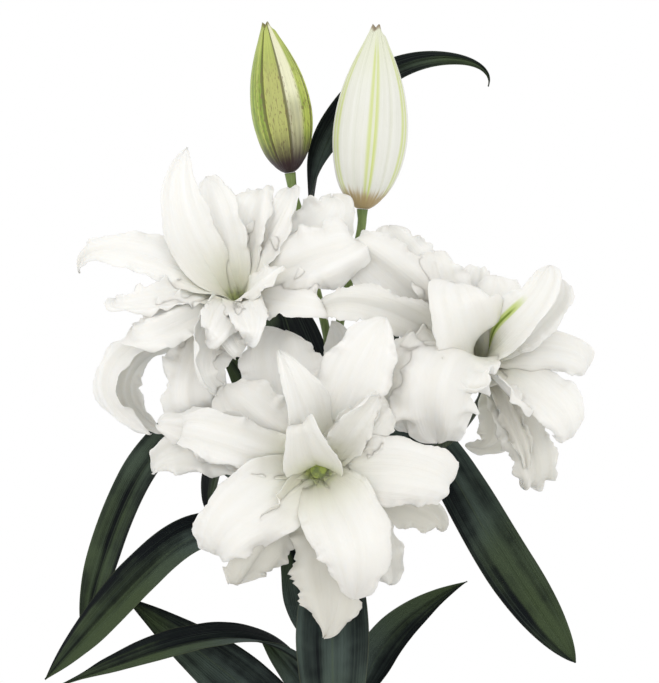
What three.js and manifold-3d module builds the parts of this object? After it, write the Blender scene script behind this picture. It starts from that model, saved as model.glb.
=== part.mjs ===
// Potted double oriental lily: a clay pot of soil, a bulb, one leafy stem,
// three open double blooms and two buds.
// Millimetres, +Z up. The origin is the centre of the pot's underside,
// +X is to the viewer's right and +Y points away from the viewer.

import * as THREE from 'three';
import { mergeVertices } from 'three/addons/utils/BufferGeometryUtils.js';
import Module from 'manifold-3d';

const wasm = await Module();
wasm.setup();

// Clearance between pieces that touch
const gap = 0.3;

// Pot
const pot = {
  height: 150,
  footRadius: 62,
  rimRadius: 88,
  wall: 7,
  floor: 9,
  bandHeight: 26,
  bandStep: 4,
  edge: 2,
  sides: 36,
  drainRadius: 6,
  drainRing: 34,
  drains: 4,
};

// Soil and bulb
const soilTop = 132;
const soilMound = 3;
const soilSides = 24;
const stemHole = 4.5;
const hollowGap = 1.5;
const bulb = { foot: 44, height: 50, radius: 23, scales: 7, scaleDepth: 0.09, sides: 21 };

// Bulb profile from its plate to its neck: share of the radius, share of the
// height
const bulbShape = [
  [0, 0], [0.42, 0], [0.75, 0.12], [1, 0.38], [0.93, 0.6], [0.66, 0.82], [0.3, 0.97], [0.24, 1],
];

// Stem
const stemRadius = 4;
const stalkRadius = 2.7;
const stemTop = 400;
const stemSides = 8;
const stalkSides = 6;

// Blades: petals and leaves
const petalThickness = 0.9;
const leafThickness = 1;
const spineSteps = 48;

// Where along a blade each feature sets in or ends, as shares of the spine
const clawEnd = 0.3;
const tipShare = 0.03;
const turnEnd = 0.45;
const faceAt = 0.55;
const waveFrom = 0.12;
const waveFull = 0.45;
const ribEnd = 0.8;
const curlEnd = 1.05;
const waveFade = 0.9;

// Speed of a spine at its foot, as a share of its length through via
const footSpeed = 0.9;

// An arched leaf: how steeply it starts, and where its via lies in its reach
const archLift = 0.9;
const archMiddle = 0.55;

// Width of the crease along the midrib, as a share of the half width
const ribWidth = 0.09;

// Rows kept along the spine and strips across, by the petal's length
const longPetal = { from: 105, rows: [0, 9, 20, 31, 41, 48], across: 3 };
const midPetal = { from: 60, rows: [0, 12, 26, 39, 48], across: 3 };
const smallPetal = { from: 0, rows: [0, 18, 34, 48], across: 2 };
const slimPetal = 33;

const leafRows = [0, 6, 13, 20, 27, 34, 41, 48];
const leafAcross = 2;

// Receptacle that a bloom's petals grow from: radius and height along its axis
const receptacle = [[0, -7], [4.2, -7], [7.5, -1], [6.5, 1], [3, 1.7], [0, 1.8]];
const receptacleSides = 12;
const petalRing = 4;

// Bud profile: share of the length, share of the half width
const budProfile = [
  [0, 0.16], [0.02, 0.34], [0.08, 0.62], [0.2, 0.87], [0.36, 1],
  [0.5, 0.97], [0.65, 0.83], [0.8, 0.56], [0.92, 0.27], [1, 0.12],
];
const budSides = 15;
const budLobes = 3;
const budLobe = 0.12;
const budRound = 0.6;

// What a petal's row leaves out
const petalShape = {
  where: 0.5,
  curl: 0,
  bend: 0.68,
  cup: [1.1, 0.35, 0.2],
  ruffle: 2.5,
  waves: 1.76,
  rib: 0.6,
  wide: 0.55,
  taper: 1.9,
  point: 0.75,
};

// Blooms. A petal runs from the bloom's base through via to tip, both measured
// from the base. Width, ruffle and speed are in mm, cup in radians from the
// middle to the edge at the foot, the middle and the tip, curl in degrees.
const blooms = {
  bloom_front: {
    base: [-10, -58, 364],
    axis: [-0.03, -0.97, 0.1],
    spread: 0.9,
    foot: 0.62,
    claw: 0.7,
    petals: [
      { via: [12, 16, 45], tip: [8, 28, 90], width: 30, seed: 61 },
      { via: [25, 10, 48], tip: [32, 22, 90], width: 30, seed: 62 },
      { via: [7, -26, -53], tip: [3, -26, -98], width: 52, wide: 0.62, taper: 1.4, point: 0.85, seed: 2 },
      { via: [28, -8, -35], tip: [43, 4, -69], width: 32, point: 0.5, seed: 3 },
      { via: [48, 4, -18], tip: [72, 18, -36], width: 34, point: 0.5, cup: [1.1, 0.5, 0.8], seed: 4 },
      { via: [-19, -4, 49], tip: [-21, 12, 87], width: 52, wide: 0.6, taper: 3, point: 0.4, curl: 20,
        ruffle: 3, seed: 5 },
      { via: [19, -22, 49], tip: [40, -16, 92], width: 46, wide: 0.6, point: 0.8, ruffle: 3.5, seed: 6 },
      { via: [-33, -16, 28], tip: [-55, -8, 52], width: 46, point: 0.5, ruffle: 3.5, seed: 7 },
      { via: [-58, -16, 20], tip: [-96, -4, 28], width: 34, ruffle: 4, seed: 16 },
      { via: [-58, -12, 12], tip: [-109, 0, -3], width: 32, wide: 0.5, curl: 55, seed: 8 },
      { via: [-49, -32, 18], tip: [-81, -16, 24], width: 34, point: 0.5, cup: [1.1, 0.5, 0.6], seed: 9 },
      { via: [47, -30, 1], tip: [86, -16, -17], width: 46, wide: 0.5, point: 0.7, curl: 60, ruffle: 1.2,
        seed: 10 },
      { via: [-40, -40, -23], tip: [-63, -22, -56], width: 54, wide: 0.45, taper: 1.7, point: 0.85,
        curl: 30, seed: 11 },
      { via: [-26, -26, -37], tip: [-48, -14, -67], width: 42, wide: 0.6, taper: 2.4,
        face: [0.1, -0.6, -0.7], seed: 63 },
      { via: [17, -48, -32], tip: [21, -30, -75], width: 52, wide: 0.45, taper: 1.8, point: 0.7,
        cup: [1, 0.1, -0.2], seed: 12 },
      { via: [-10, -34, 42], tip: [-24, -26, 73], width: 38, wide: 0.5, taper: 1.5, point: 1.1,
        cup: [1, 0.8, 0.9], ruffle: 1, face: [0.5, -0.9, 0.2], seed: 13 },
      { via: [19, -30, 25], tip: [35, -28, 45], width: 28, cup: [1, 0.9, 0.9], face: [0.3, -0.9, 0],
        seed: 14 },
      { via: [26, -22, 25], tip: [42, -16, 38], width: 34, point: 0.5, cup: [1, 0.5, 0.3],
        face: [0.1, -0.9, 0.1], seed: 19 },
      { start: [0.05, -1, -0.15], speed: 66, via: [-6, -38, 17], tip: [-9, -30, 29], width: 41, wide: 0.4,
        foot: 0.85, claw: 0.9, taper: 1.5, point: 1, cup: [1.2, 0.9, 0.7], ruffle: 0.3,
        inner: [0.1, -0.3, -1], seed: 15 },
    ],
  },
  bloom_left: {
    base: [-59, -4, 465],
    axis: [-0.22, -0.66, 0.7],
    spread: 0.2,
    foot: 0.55,
    claw: 0.55,
    petals: [
      { via: [-10, -22, 42], tip: [-21, -4, 78], width: 34, face: [-0.3, -0.95, 0.1], seed: 21 },
      { via: [6, -18, 45], tip: [15, 2, 71], width: 32, cup: [1.1, 0.8, 0.8], face: [-0.4, -0.9, 0.1],
        seed: 22 },
      { via: [18, -22, 39], tip: [31, -8, 71], width: 30, point: 0.5, cup: [1.1, 0.8, 0.8],
        face: [-0.6, -0.8, 0.1], seed: 38 },
      { via: [36, -20, 36], tip: [57, -8, 66], width: 44, point: 0.5, ruffle: 4.5, face: [-0.1, -0.95, 0.2],
        seed: 23 },
      { via: [40, -38, 25], tip: [72, -32, 38], width: 46, point: 0.45, ruffle: 4.5, face: [0, -0.95, 0.3],
        seed: 24 },
      { start: [-0.9, -0.4, 0.1], via: [-63, -32, -24], tip: [-133, -26, -28], width: 21, wide: 0.6,
        taper: 2.6, curl: 185, bend: 0.42, inner: [0, -0.2, 1], face: [-0.5, -0.8, 0.1], seed: 25 },
      { start: [-0.9, -0.2, -0.1], via: [-54, -22, -28], tip: [-116, -14, -36], width: 18, wide: 0.6,
        taper: 2.6, curl: 175, bend: 0.42, inner: [0, -0.2, 1], face: [0.6, -0.7, -0.2], seed: 26 },
      { via: [-53, -40, 29], tip: [-104, -30, 25], width: 34, wide: 0.35, point: 0.95, curl: 30,
        ruffle: 1.2, face: [-0.1, -0.9, 0.4], seed: 27 },
      { via: [-28, -38, 41], tip: [-31, -31, 95], width: 36, wide: 0.5, point: 1, cup: [1, 0.35, 0.5],
        ruffle: 0.8, face: [0.3, -0.95, 0.1], seed: 28 },
      { via: [28, -44, 4], tip: [51, -46, 0], width: 40, point: 0.5, ruffle: 2, face: [-0.1, -0.8, 0.6],
        seed: 29 },
      { via: [-44, -46, 2], tip: [-74, -38, 3], width: 26, cup: [1, 0.8, 0.8], face: [0, -0.8, 0.6],
        seed: 30 },
      { via: [-35, -52, -9], tip: [-63, -46, -14], width: 34, point: 0.55, face: [-0.1, -0.95, 0.3],
        seed: 31 },
      { via: [-22, -44, -28], tip: [-28, -32, -58], width: 30, point: 0.6, ruffle: 3,
        face: [-0.2, -0.95, 0.2], seed: 33 },
      { via: [-23, -49, -33], tip: [-12, -40, -65], width: 42, point: 0.5, ruffle: 3,
        face: [-0.1, -0.95, 0.2], seed: 32 },
      { via: [-19, -58, -19], tip: [-9, -56, -54], width: 28, cup: [1, 1, 1.2], face: [0.5, -0.8, 0],
        seed: 34 },
      { via: [-3, -58, -12], tip: [5, -58, -26], width: 32, cup: [1, 0.9, 1.1], face: [0, -0.7, 0.7],
        seed: 35 },
      { via: [-8, -65, -7], tip: [-18, -71, -22], width: 28, face: [0, -0.9, 0.4], seed: 57 },
      { via: [6, -67, -6], tip: [5, -77, -22], width: 28, face: [0, -0.8, 0.6], seed: 58 },
      { via: [11, -40, 12], tip: [27, -46, 22], width: 24, face: [-0.3, -0.8, 0.5], seed: 36 },
    ],
  },
  bloom_right: {
    base: [88, -4, 423],
    axis: [-0.13, -0.55, 0.83],
    spread: 0.2,
    foot: 0.5,
    claw: 0.5,
    petals: [
      { via: [0, -6, 41], tip: [3, 6, 72], width: 24, curl: 60, face: [0, -1, 0], seed: 41 },
      { via: [-33, -14, 50], tip: [-55, -2, 90], width: 44, point: 0.5, ruffle: 4, face: [0.1, -0.95, 0.2],
        seed: 42 },
      { via: [-20, -22, 44], tip: [-27, -10, 74], width: 38, point: 0.5, ruffle: 4, face: [0, -0.95, 0.2],
        seed: 43 },
      { start: [0.5, -0.5, -0.3], via: [15, 0, -30], tip: [-7, 10, -46], width: 32, face: [-0.2, 0.5, 0.8],
        seed: 44 },
      { via: [37, -30, 15], tip: [65, -16, -1], width: 34, point: 0.5, ruffle: 1.5,
        face: [-0.1, -0.95, 0.2], seed: 45 },
      { via: [25, -26, -32], tip: [26, -16, -74], width: 34, curl: 50, face: [0.3, -0.9, 0.1], seed: 46 },
      { via: [35, -36, -10], tip: [51, -22, -43], width: 34, point: 0.7, face: [0.2, -0.9, 0.2], seed: 47 },
      { via: [17, -30, -22], tip: [27, -30, -61], width: 16, cup: [1, 0.8, 0.6], face: [0.3, -0.9, 0.1],
        seed: 55 },
      { via: [13, -42, -7], tip: [30, -42, -22], width: 22, face: [0, 0.6, 0.8], seed: 64 },
      { via: [9, -20, 32], tip: [12, -8, 59], width: 38, point: 0.45, face: [0, -0.95, 0.1], seed: 48 },
      { via: [-47, -30, 53], tip: [-78, -14, 70], width: 48, point: 0.5, ruffle: 4, face: [0, -0.95, 0.2],
        seed: 49 },
      { via: [-50, -50, 35], tip: [-97, -46, 37], width: 28, point: 0.5, face: [0, -0.95, 0.2], seed: 50 },
      { via: [21, -44, 29], tip: [43, -36, 65], width: 38, foot: 0.7, claw: 0.7, cup: [1.1, 0.9, 0.7],
        ruffle: 1.2, face: [-0.6, -0.8, 0.2], seed: 51 },
      { via: [28, -36, 27], tip: [49, -32, 57], width: 28, point: 0.6, face: [-0.3, -0.9, 0.1], seed: 59 },
      { via: [-7, -48, 26], tip: [-15, -44, 54], width: 58, foot: 0.85, claw: 0.8, point: 0.42,
        cup: [0.8, 0.4, 0.3], ruffle: 1, face: [0.2, -0.95, 0.2], seed: 52 },
      { via: [-20, -62, 8], tip: [-26, -53, -42], width: 60, wide: 0.5, point: 0.42, ruffle: 4,
        face: [-0.1, -0.95, 0.1], seed: 53 },
      { via: [-34, -53, 14], tip: [-44, -48, -36], width: 36, point: 0.6, ruffle: 4,
        face: [-0.3, -0.9, 0.1], seed: 54 },
    ],
  },
};

// Buds: foot, tip and width
const buds = {
  bud_green: { foot: [-28, 8, 547], tip: [-43, 0, 640], width: 38 },
  bud_white: { foot: [17, -2, 524], tip: [26, -4, 638], width: 47 },
};

// Stalks from the stem: points before the straight end below a bloom or bud
const stalks = {
  bloom_front: [[0, 0, 378], [-3, -6, 375]],
  bloom_left: [[0, 0, 395], [-14, 3, 420], [-36, 12, 431]],
  bloom_right: [[0, 0, 372], [34, 5, 371], [68, 10, 378]],
  bud_green: [[0, 0, 396], [-4, 4, 440], [-13, 7, 480], [-22, 9, 520]],
  bud_white: [[0, 0, 396], [1, -1, 440], [8, -1, 475]],
};
const stalkStraight = 14;

// What a leaf's row leaves out
const leafShape = {
  inner: [0, 0, 1],
  where: 0.5,
  curl: 0,
  bend: 0.68,
  cup: [0.9, 0.6, 0.5],
  ruffle: 2,
  waves: 1.21,
  rib: 1,
  wide: 0.45,
  foot: 0.3,
  claw: 0.25,
  taper: 1.6,
  point: 1,
};

// Leaves: height of the foot on the stem, first direction, and points of the
// spine in the part's own frame. A row with a turn in degrees arches outwards
// by a rule instead, over a reach, with a rise at its middle and a fall.
const leaves = {
  leaf_front: { at: 282, start: [0, -1, 0.9], via: [-1, -42, 291], tip: [1, -60, 169], where: 0.35,
    width: 47, face: [0, -0.9, 0.3], seed: 6 },
  leaf_left_top: { at: 362, start: [-0.8, 0.1, 0.5], speed: 159, via: [-34, 10, 380], tip: [-156, 0, 259],
    where: 0.2, width: 27, wide: 0.6, foot: 0.4, taper: 3, point: 0.8, face: [-0.3, -0.8, 0.3], seed: 2 },
  leaf_left_middle: { at: 306, start: [-0.8, -0.1, 0.3], speed: 286, via: [-131, -30, 285],
    tip: [-175, -55, 238], where: 0.8, width: 29, wide: 0.6, taper: 2.4, face: [0.1, -0.7, 0.6], seed: 3 },
  leaf_left_low: { at: 217, start: [-0.4, -0.3, 1], speed: 252, via: [-100, -50, 257],
    tip: [-167, -80, 236], where: 0.63, width: 26, face: [0.1, -0.5, 0.8], seed: 5 },
  leaf_left_back: { at: 173, start: [-0.6, 0.3, 0.8], via: [-63, 30, 229], tip: [-133, 35, 281], width: 40,
    face: [-0.1, -0.9, 0.3], seed: 4 },
  leaf_left_small: { at: 203, start: [-0.5, 0.4, 1], via: [-30, 25, 238], tip: [-49, 30, 260], width: 18,
    face: [0, -0.9, 0.2], seed: 13 },
  leaf_left_inner: { at: 231, start: [-0.4, 0.3, 1], via: [-19, 30, 292], tip: [-46, 35, 329], width: 34,
    face: [0, -0.9, 0.2], seed: 12 },
  leaf_right_low: { at: 182, start: [0.8, -0.2, 0.6], speed: 50, via: [43, 8, 266], tip: [82, 0, 293],
    where: 0.8, width: 27, face: [-0.2, -0.9, 0.4], seed: 7 },
  leaf_right_top: { at: 346, start: [0.85, 0.45, 0.9], speed: 334, via: [65, 24, 372], tip: [148, -15, 244],
    where: 0.5, width: 34, wide: 0.68, foot: 0.4, taper: 2.6, point: 0.8, face: [-0.1, -0.8, 0.5],
    seed: 8 },
  leaf_behind_left: { at: 331, start: [-0.9, 0.4, 0.5], via: [-51, 45, 367], tip: [-79, 55, 332], width: 46,
    point: 0.6, face: [0, -0.9, 0.3], seed: 9 },
  leaf_behind_ring: { at: 352, start: [-0.7, 0.5, 0.6], via: [-43, 38, 400], tip: [-76, 40, 442], width: 34,
    face: [0, -0.9, 0.2], seed: 14 },
  leaf_behind_middle: { at: 384, start: [-0.7, 0.7, 0.6], via: [-27, 48, 442], tip: [-47, 60, 470],
    width: 42, point: 0.7, face: [0, -0.9, 0.2], seed: 10 },
  leaf_behind_right: { at: 380, start: [0.8, 0.6, 0.6], via: [27, 46, 440], tip: [44, 68, 462], width: 34,
    face: [0, -0.9, 0.2], seed: 11 },
  leaf_back_1: { at: 214, turn: 92, reach: 108, rise: 38, fall: -4, width: 30, seed: 31 },
  leaf_back_2: { at: 290, turn: 84, reach: 112, rise: 44, fall: 15, width: 32, seed: 32 },
  leaf_back_3: { at: 322, turn: 112, reach: 108, rise: 46, fall: 28, width: 32, seed: 33 },
  leaf_back_4: { at: 348, turn: 62, reach: 104, rise: 48, fall: 32, width: 30, seed: 34 },
  leaf_low_1: { at: 146, turn: 203, reach: 128, rise: 34, fall: 22, width: 28, seed: 35 },
  leaf_low_2: { at: 152, turn: 335, reach: 124, rise: 36, fall: 24, width: 29, seed: 36 },
  leaf_low_3: { at: 158, turn: 105, reach: 120, rise: 38, fall: 20, width: 30, seed: 37 },
  leaf_low_4: { at: 164, turn: 248, reach: 118, rise: 34, fall: 8, width: 28, seed: 38 },
  leaf_low_5: { at: 170, turn: 38, reach: 126, rise: 30, fall: 4, width: 30, seed: 39 },
  leaf_low_6: { at: 180, turn: 306, reach: 122, rise: 28, fall: -4, width: 29, seed: 40 },
};

// The top leaf grows from the green bud's stalk and arches over behind the
// white bud
const topLeaf = {
  base: [-16.2, 10.8, 505],
  start: [0, 0.2, 1],
  speed: 418,
  via: [20, 36, 602],
  tip: [97, 40, 603],
  where: 0.36,
  width: 21,
  wide: 0.45,
  taper: 1.3,
  inner: [-1, 0.2, 0],
  face: [0.3, -0.9, 0.2],
  seed: 1,
};

const clay = new THREE.MeshStandardMaterial({ color: 0xb5683f, roughness: 0.85, metalness: 0 });
const earth = new THREE.MeshStandardMaterial({ color: 0x3a2b20, roughness: 1, metalness: 0 });
const bulbSkin = new THREE.MeshStandardMaterial({ color: 0xe6d9b8, roughness: 0.7, metalness: 0 });
const stalkGreen = new THREE.MeshStandardMaterial({ color: 0x5f7a3c, roughness: 0.55, metalness: 0 });
const leafGreen = new THREE.MeshStandardMaterial({ color: 0x2f4437, roughness: 0.45, metalness: 0 });
const petalWhite = new THREE.MeshStandardMaterial({ color: 0xeeede4, roughness: 0.55, metalness: 0 });
const budGreen = new THREE.MeshStandardMaterial({ color: 0xa9b862, roughness: 0.5, metalness: 0 });
const budCream = new THREE.MeshStandardMaterial({ color: 0xeeeedd, roughness: 0.5, metalness: 0 });

function vec(p) {
  return new THREE.Vector3(...p);
}

// A repeatable draw between 0 and 1 from two numbers
function draw(a, b) {
  const s = Math.sin(a * 12.9898 + b * 78.233) * 43758.5453;
  return s - Math.floor(s);
}

function smooth(x, from, to) {
  const t = Math.min(Math.max((x - from) / (to - from), 0), 1);
  return t * t * (3 - 2 * t);
}

// Value of a table of [x, y] pairs at x, by straight lines
function follow(table, x) {
  const k = Math.max(1, table.findIndex(([at]) => at >= x));
  const [x0, y0] = table[k - 1];
  const [x1, y1] = table[k];
  return y0 + (y1 - y0) * Math.min(Math.max((x - x0) / (x1 - x0), 0), 1);
}

function across(v, along) {
  return v.clone().addScaledVector(along, -v.dot(along)).normalize();
}

// Points at equal steps along a polyline
function evenSteps(points, steps) {
  const lengths = [0];
  for (let i = 1; i < points.length; i++) {
    lengths.push(lengths[i - 1] + points[i].distanceTo(points[i - 1]));
  }
  const even = [];
  let k = 1;
  for (let i = 0; i <= steps; i++) {
    const s = lengths[lengths.length - 1] * i / steps;
    while (k < points.length - 1 && lengths[k] < s) k++;
    const part = (s - lengths[k - 1]) / (lengths[k] - lengths[k - 1]);
    even.push(points[k - 1].clone().lerp(points[k], Math.min(part, 1)));
  }
  return even;
}

function tangentsOf(points) {
  const last = points.length - 1;
  return points.map((_, i) =>
    points[Math.min(i + 1, last)].clone().sub(points[Math.max(i - 1, 0)]).normalize());
}

// The cubic that leaves base in the start direction, passes via at the share
// where, and ends at tip. From the share bend on it may turn by curl degrees.
function spineOf({ base, start, via, tip, speed, where, curl, bend, inner }) {
  const v = start.clone().multiplyScalar(speed);
  const r1 = via.clone().sub(base).addScaledVector(v, -where);
  const r2 = tip.clone().sub(base).sub(v);
  const b = r1.addScaledVector(r2, -(where ** 2)).divideScalar(where ** 3 - where ** 2);
  const a = r2.clone().sub(b);
  const raw = [];
  for (let i = 0; i <= 2 * spineSteps; i++) {
    const t = i / (2 * spineSteps);
    const p = base.clone().addScaledVector(v, t);
    raw.push(p.addScaledVector(a, t * t).addScaledVector(b, t ** 3));
  }
  let points = evenSteps(raw, spineSteps);
  let frame = framesOf(points, inner);
  if (curl) {
    const step = points[1].distanceTo(points[0]);
    const bent = [points[0]];
    for (let i = 1; i <= spineSteps; i++) {
      const turn = THREE.MathUtils.degToRad(curl) * smooth(i / spineSteps, bend, curlEnd);
      const { along, normal } = frame[i];
      const next = bent[i - 1].clone().addScaledVector(along, step * Math.cos(turn));
      bent.push(next.addScaledVector(normal, -step * Math.sin(turn)));
    }
    points = bent;
    frame = framesOf(points, inner);
  }
  return { points, frame };
}

// Frames carried along the spine with as little turning as possible
function framesOf(points, inner) {
  const along = tangentsOf(points);
  let normal = across(inner, along[0]);
  return along.map((tangent) => {
    normal = across(normal, tangent);
    const side = new THREE.Vector3().crossVectors(tangent, normal);
    return { along: tangent, normal, side };
  });
}

// Half width of a blade as a share, from a narrow foot over the widest place
// to the tip
function outline(t, { wide, foot, claw, taper, point }) {
  const grow = 1 - Math.abs(1 - t / wide) ** 1.9 * (1 - foot);
  const shrink = Math.max(1 - ((t - wide) / (1 - wide)) ** taper, 0) ** point;
  const narrow = claw + (1 - claw) * smooth(t, 0, clawEnd);
  return Math.max(narrow * (t < wide ? grow : shrink), tipShare);
}

// Middle surface of a blade: rows along its spine, and points from edge to
// edge on an arc, waved towards the edges and creased along the midrib
function bladeRows(o, rows, columns) {
  const { points, frame } = spineOf(o);
  const middle = frame[Math.round(spineSteps * faceAt)];
  const twist = o.face ? Math.atan2(o.face.dot(middle.side), o.face.dot(middle.normal)) : 0;
  return rows.map((row) => {
    const t = row / spineSteps;
    const { normal, side } = frame[row];
    const turn = twist * smooth(t, 0, turnEnd);
    const n = normal.clone().multiplyScalar(Math.cos(turn)).addScaledVector(side, Math.sin(turn));
    const s = side.clone().multiplyScalar(Math.cos(turn)).addScaledVector(normal, -Math.sin(turn));
    const half = o.width / 2 * outline(t, o);
    const bow = follow([[0, o.cup[0]], [0.5, o.cup[1]], [1, o.cup[2]]], t) + 1e-4;
    const free = smooth(t, waveFrom, waveFull) * (1 - 0.35 * smooth(t, waveFade, 1));
    const ribbed = smooth(t, 0, 0.1) * (1 - smooth(t, ribEnd, 1));
    const line = [];
    for (let j = 0; j <= columns; j++) {
      const u = 2 * j / columns - 1;
      const edge = u > 0 ? 1 : 0;
      const uneven = 0.25 * (draw(o.seed, 3) - 0.5) + 0.3 * edge * (draw(o.seed, 4) - 0.5);
      const waves = o.waves * (1 + uneven);
      const phase = 2 * Math.PI * (draw(o.seed, 1) + edge * draw(o.seed, 2));
      let lift = half * (1 - Math.cos(u * bow)) / bow;
      lift += o.ruffle * Math.abs(u) ** 2.2 * free * Math.sin(2 * Math.PI * waves * t + phase);
      lift -= o.rib * Math.exp(-((u / ribWidth) ** 2)) * ribbed;
      const p = points[row].clone().addScaledVector(s, half * Math.sin(u * bow) / bow);
      line.push(p.addScaledVector(n, lift));
    }
    return line;
  });
}

// Surface normal at each point of a grid
function gridNormals(rows) {
  const lastRow = rows.length - 1;
  const lastColumn = rows[0].length - 1;
  return rows.map((line, i) => line.map((_, j) => {
    const down = rows[Math.min(i + 1, lastRow)][j].clone().sub(rows[Math.max(i - 1, 0)][j]);
    const over = line[Math.min(j + 1, lastColumn)].clone().sub(line[Math.max(j - 1, 0)]);
    return over.cross(down).normalize();
  }));
}

// Closed sheet of even thickness about a grid, split alike on both faces
function sheet(rows, thickness) {
  const normals = gridNormals(rows);
  const lines = rows.length;
  const columns = rows[0].length;
  const count = lines * columns;
  const positions = [];
  for (const sign of [1, -1]) {
    rows.forEach((line, i) => line.forEach((p, j) => {
      positions.push(...p.clone().addScaledVector(normals[i][j], sign * thickness / 2).toArray());
    }));
  }
  const faces = [];
  for (let i = 0; i < lines - 1; i++) {
    for (let j = 0; j < columns - 1; j++) {
      const a = i * columns + j;
      const b = a + 1;
      const c = a + columns;
      const d = c + 1;
      faces.push(a, b, d, a, d, c);
      faces.push(a + count, d + count, b + count, a + count, c + count, d + count);
    }
  }
  const rim = [];
  for (let j = 0; j < columns - 1; j++) rim.push(j);
  for (let i = 0; i < lines - 1; i++) rim.push(i * columns + columns - 1);
  for (let j = columns - 1; j > 0; j--) rim.push((lines - 1) * columns + j);
  for (let i = lines - 1; i > 0; i--) rim.push(i * columns);
  rim.forEach((p, k) => {
    const q = rim[(k + 1) % rim.length];
    faces.push(p, q + count, q, p, p + count, q + count);
  });
  const geometry = new THREE.BufferGeometry();
  geometry.setAttribute('position', new THREE.Float32BufferAttribute(positions, 3));
  geometry.setIndex(faces);
  return geometry;
}

// Closed triangles with shared corners, as a solid that can be joined or cut
function solid(geometry) {
  const bare = geometry.clone();
  bare.deleteAttribute('normal');
  bare.deleteAttribute('uv');
  const merged = mergeVertices(bare, 1e-3);
  return new wasm.Manifold(new wasm.Mesh({
    numProp: 3,
    vertProperties: new Float32Array(merged.attributes.position.array),
    triVerts: new Uint32Array(merged.index.array),
  }));
}

// One body out of several solids: sealed hollows and loose scraps go
function join(solids) {
  const bodies = wasm.Manifold.union(solids).decompose();
  const outer = bodies.reduce((a, b) => (b.volume() > a.volume() ? b : a));
  const mesh = outer.getMesh();
  const geometry = new THREE.BufferGeometry();
  geometry.setAttribute('position', new THREE.BufferAttribute(mesh.vertProperties, 3));
  geometry.setIndex(new THREE.BufferAttribute(mesh.triVerts, 1));
  return geometry;
}

function turned(profile, sides) {
  return new THREE.LatheGeometry(profile.map(([r, z]) => new THREE.Vector2(r, z)), sides)
    .rotateX(Math.PI / 2);
}

// Places a geometry made about +Z on a base point, along an axis
function placed(geometry, base, axis) {
  const turn = new THREE.Quaternion().setFromUnitVectors(new THREE.Vector3(0, 0, 1), axis);
  const matrix = new THREE.Matrix4().compose(base, turn, new THREE.Vector3(1, 1, 1));
  return geometry.applyMatrix4(matrix);
}

function tube(points, radius, sides, steps) {
  const section = new THREE.Shape();
  for (let k = 0; k < sides; k++) {
    const a = 2 * Math.PI * k / sides;
    const p = [radius * Math.cos(a), radius * Math.sin(a)];
    if (k) section.lineTo(...p);
    else section.moveTo(...p);
  }
  section.closePath();
  const path = new THREE.CatmullRomCurve3(points, false, 'catmullrom', 0.5);
  return new THREE.ExtrudeGeometry(section, { steps, extrudePath: path, bevelEnabled: false });
}

const group = new THREE.Group();

function add(name, geometry, material) {
  const mesh = new THREE.Mesh(geometry, material);
  mesh.name = name;
  group.add(mesh);
}

// Outer radius of the pot's wall at a height, without the rim band
function potRadius(z) {
  return pot.footRadius + (pot.rimRadius - pot.bandStep - pot.footRadius) / pot.height * z;
}

// Pot: a tapered wall with a rim band, a flat floor and drain holes
function potGeometry() {
  const { height, footRadius, rimRadius, wall, floor, bandHeight, bandStep, edge } = pot;
  const band = height - bandHeight;
  const profile = [
    [0, 0],
    [footRadius - edge, 0],
    [footRadius, edge],
    [potRadius(band), band],
    [potRadius(band) + bandStep, band + edge],
    [rimRadius, height - edge],
    [rimRadius - edge, height],
    [potRadius(height) - wall + edge, height],
    [potRadius(height) - wall, height - edge],
    [potRadius(floor) - wall, floor],
    [0, floor],
  ];
  let shell = solid(turned(profile, pot.sides));
  for (let k = 0; k < pot.drains; k++) {
    const angle = 2 * Math.PI * (k + 0.5) / pot.drains;
    const hole = new THREE.CylinderGeometry(pot.drainRadius, pot.drainRadius, 4 * floor, 10);
    hole.rotateX(Math.PI / 2);
    hole.translate(pot.drainRing * Math.cos(angle), pot.drainRing * Math.sin(angle), 0);
    shell = shell.subtract(solid(hole));
  }
  return join([shell]);
}

// Soil: fills the pot, with a plain hole for the stem over the bulb's hollow
function soilGeometry() {
  const inside = (z) => potRadius(z) - pot.wall - gap;
  const low = pot.floor + gap;
  const top = inside(soilTop);
  const hollow = bulbProfile().slice(2).map(([r, z]) => [r + hollowGap, z]);
  return turned([
    [0, low],
    [inside(low), low],
    [inside(soilTop - 2), soilTop - 2],
    [top - 3, soilTop],
    [top * 0.55, soilTop + soilMound * 0.4],
    [top * 0.25, soilTop + soilMound],
    [stemHole, soilTop + soilMound],
    [stemHole, bulb.foot + bulb.height + hollowGap],
    ...hollow.reverse(),
    [bulbProfile()[1][0] + hollowGap, bulb.foot - gap],
    [0, bulb.foot - gap],
  ], soilSides);
}

// Radius and height down the outside of the bulb, from its plate to its neck
function bulbProfile() {
  const { foot, height, radius } = bulb;
  return bulbShape.map(([r, z]) => [r * radius, foot + z * height]);
}

// Bulb: overlapping scales as waves round its outline
function bulbGeometry() {
  const { sides, scales, scaleDepth, foot, height } = bulb;
  const geometry = turned([...bulbProfile(), [0, foot + height]], sides);
  const place = geometry.attributes.position;
  for (let i = 0; i < place.count; i++) {
    const [x, y, z] = [place.getX(i), place.getY(i), place.getZ(i)];
    const level = (z - foot) / height;
    const round = Math.abs(Math.cos(scales / 2 * Math.atan2(y, x) + 5 * level));
    const shrink = 1 - scaleDepth * (1 - round) * smooth(level, 0, 0.2) * (1 - smooth(level, 0.8, 1));
    place.setXY(i, x * shrink, y * shrink);
  }
  return closedFrom(geometry);
}

function closedFrom(geometry) {
  geometry.deleteAttribute('normal');
  geometry.deleteAttribute('uv');
  return join([solid(geometry)]);
}

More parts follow.
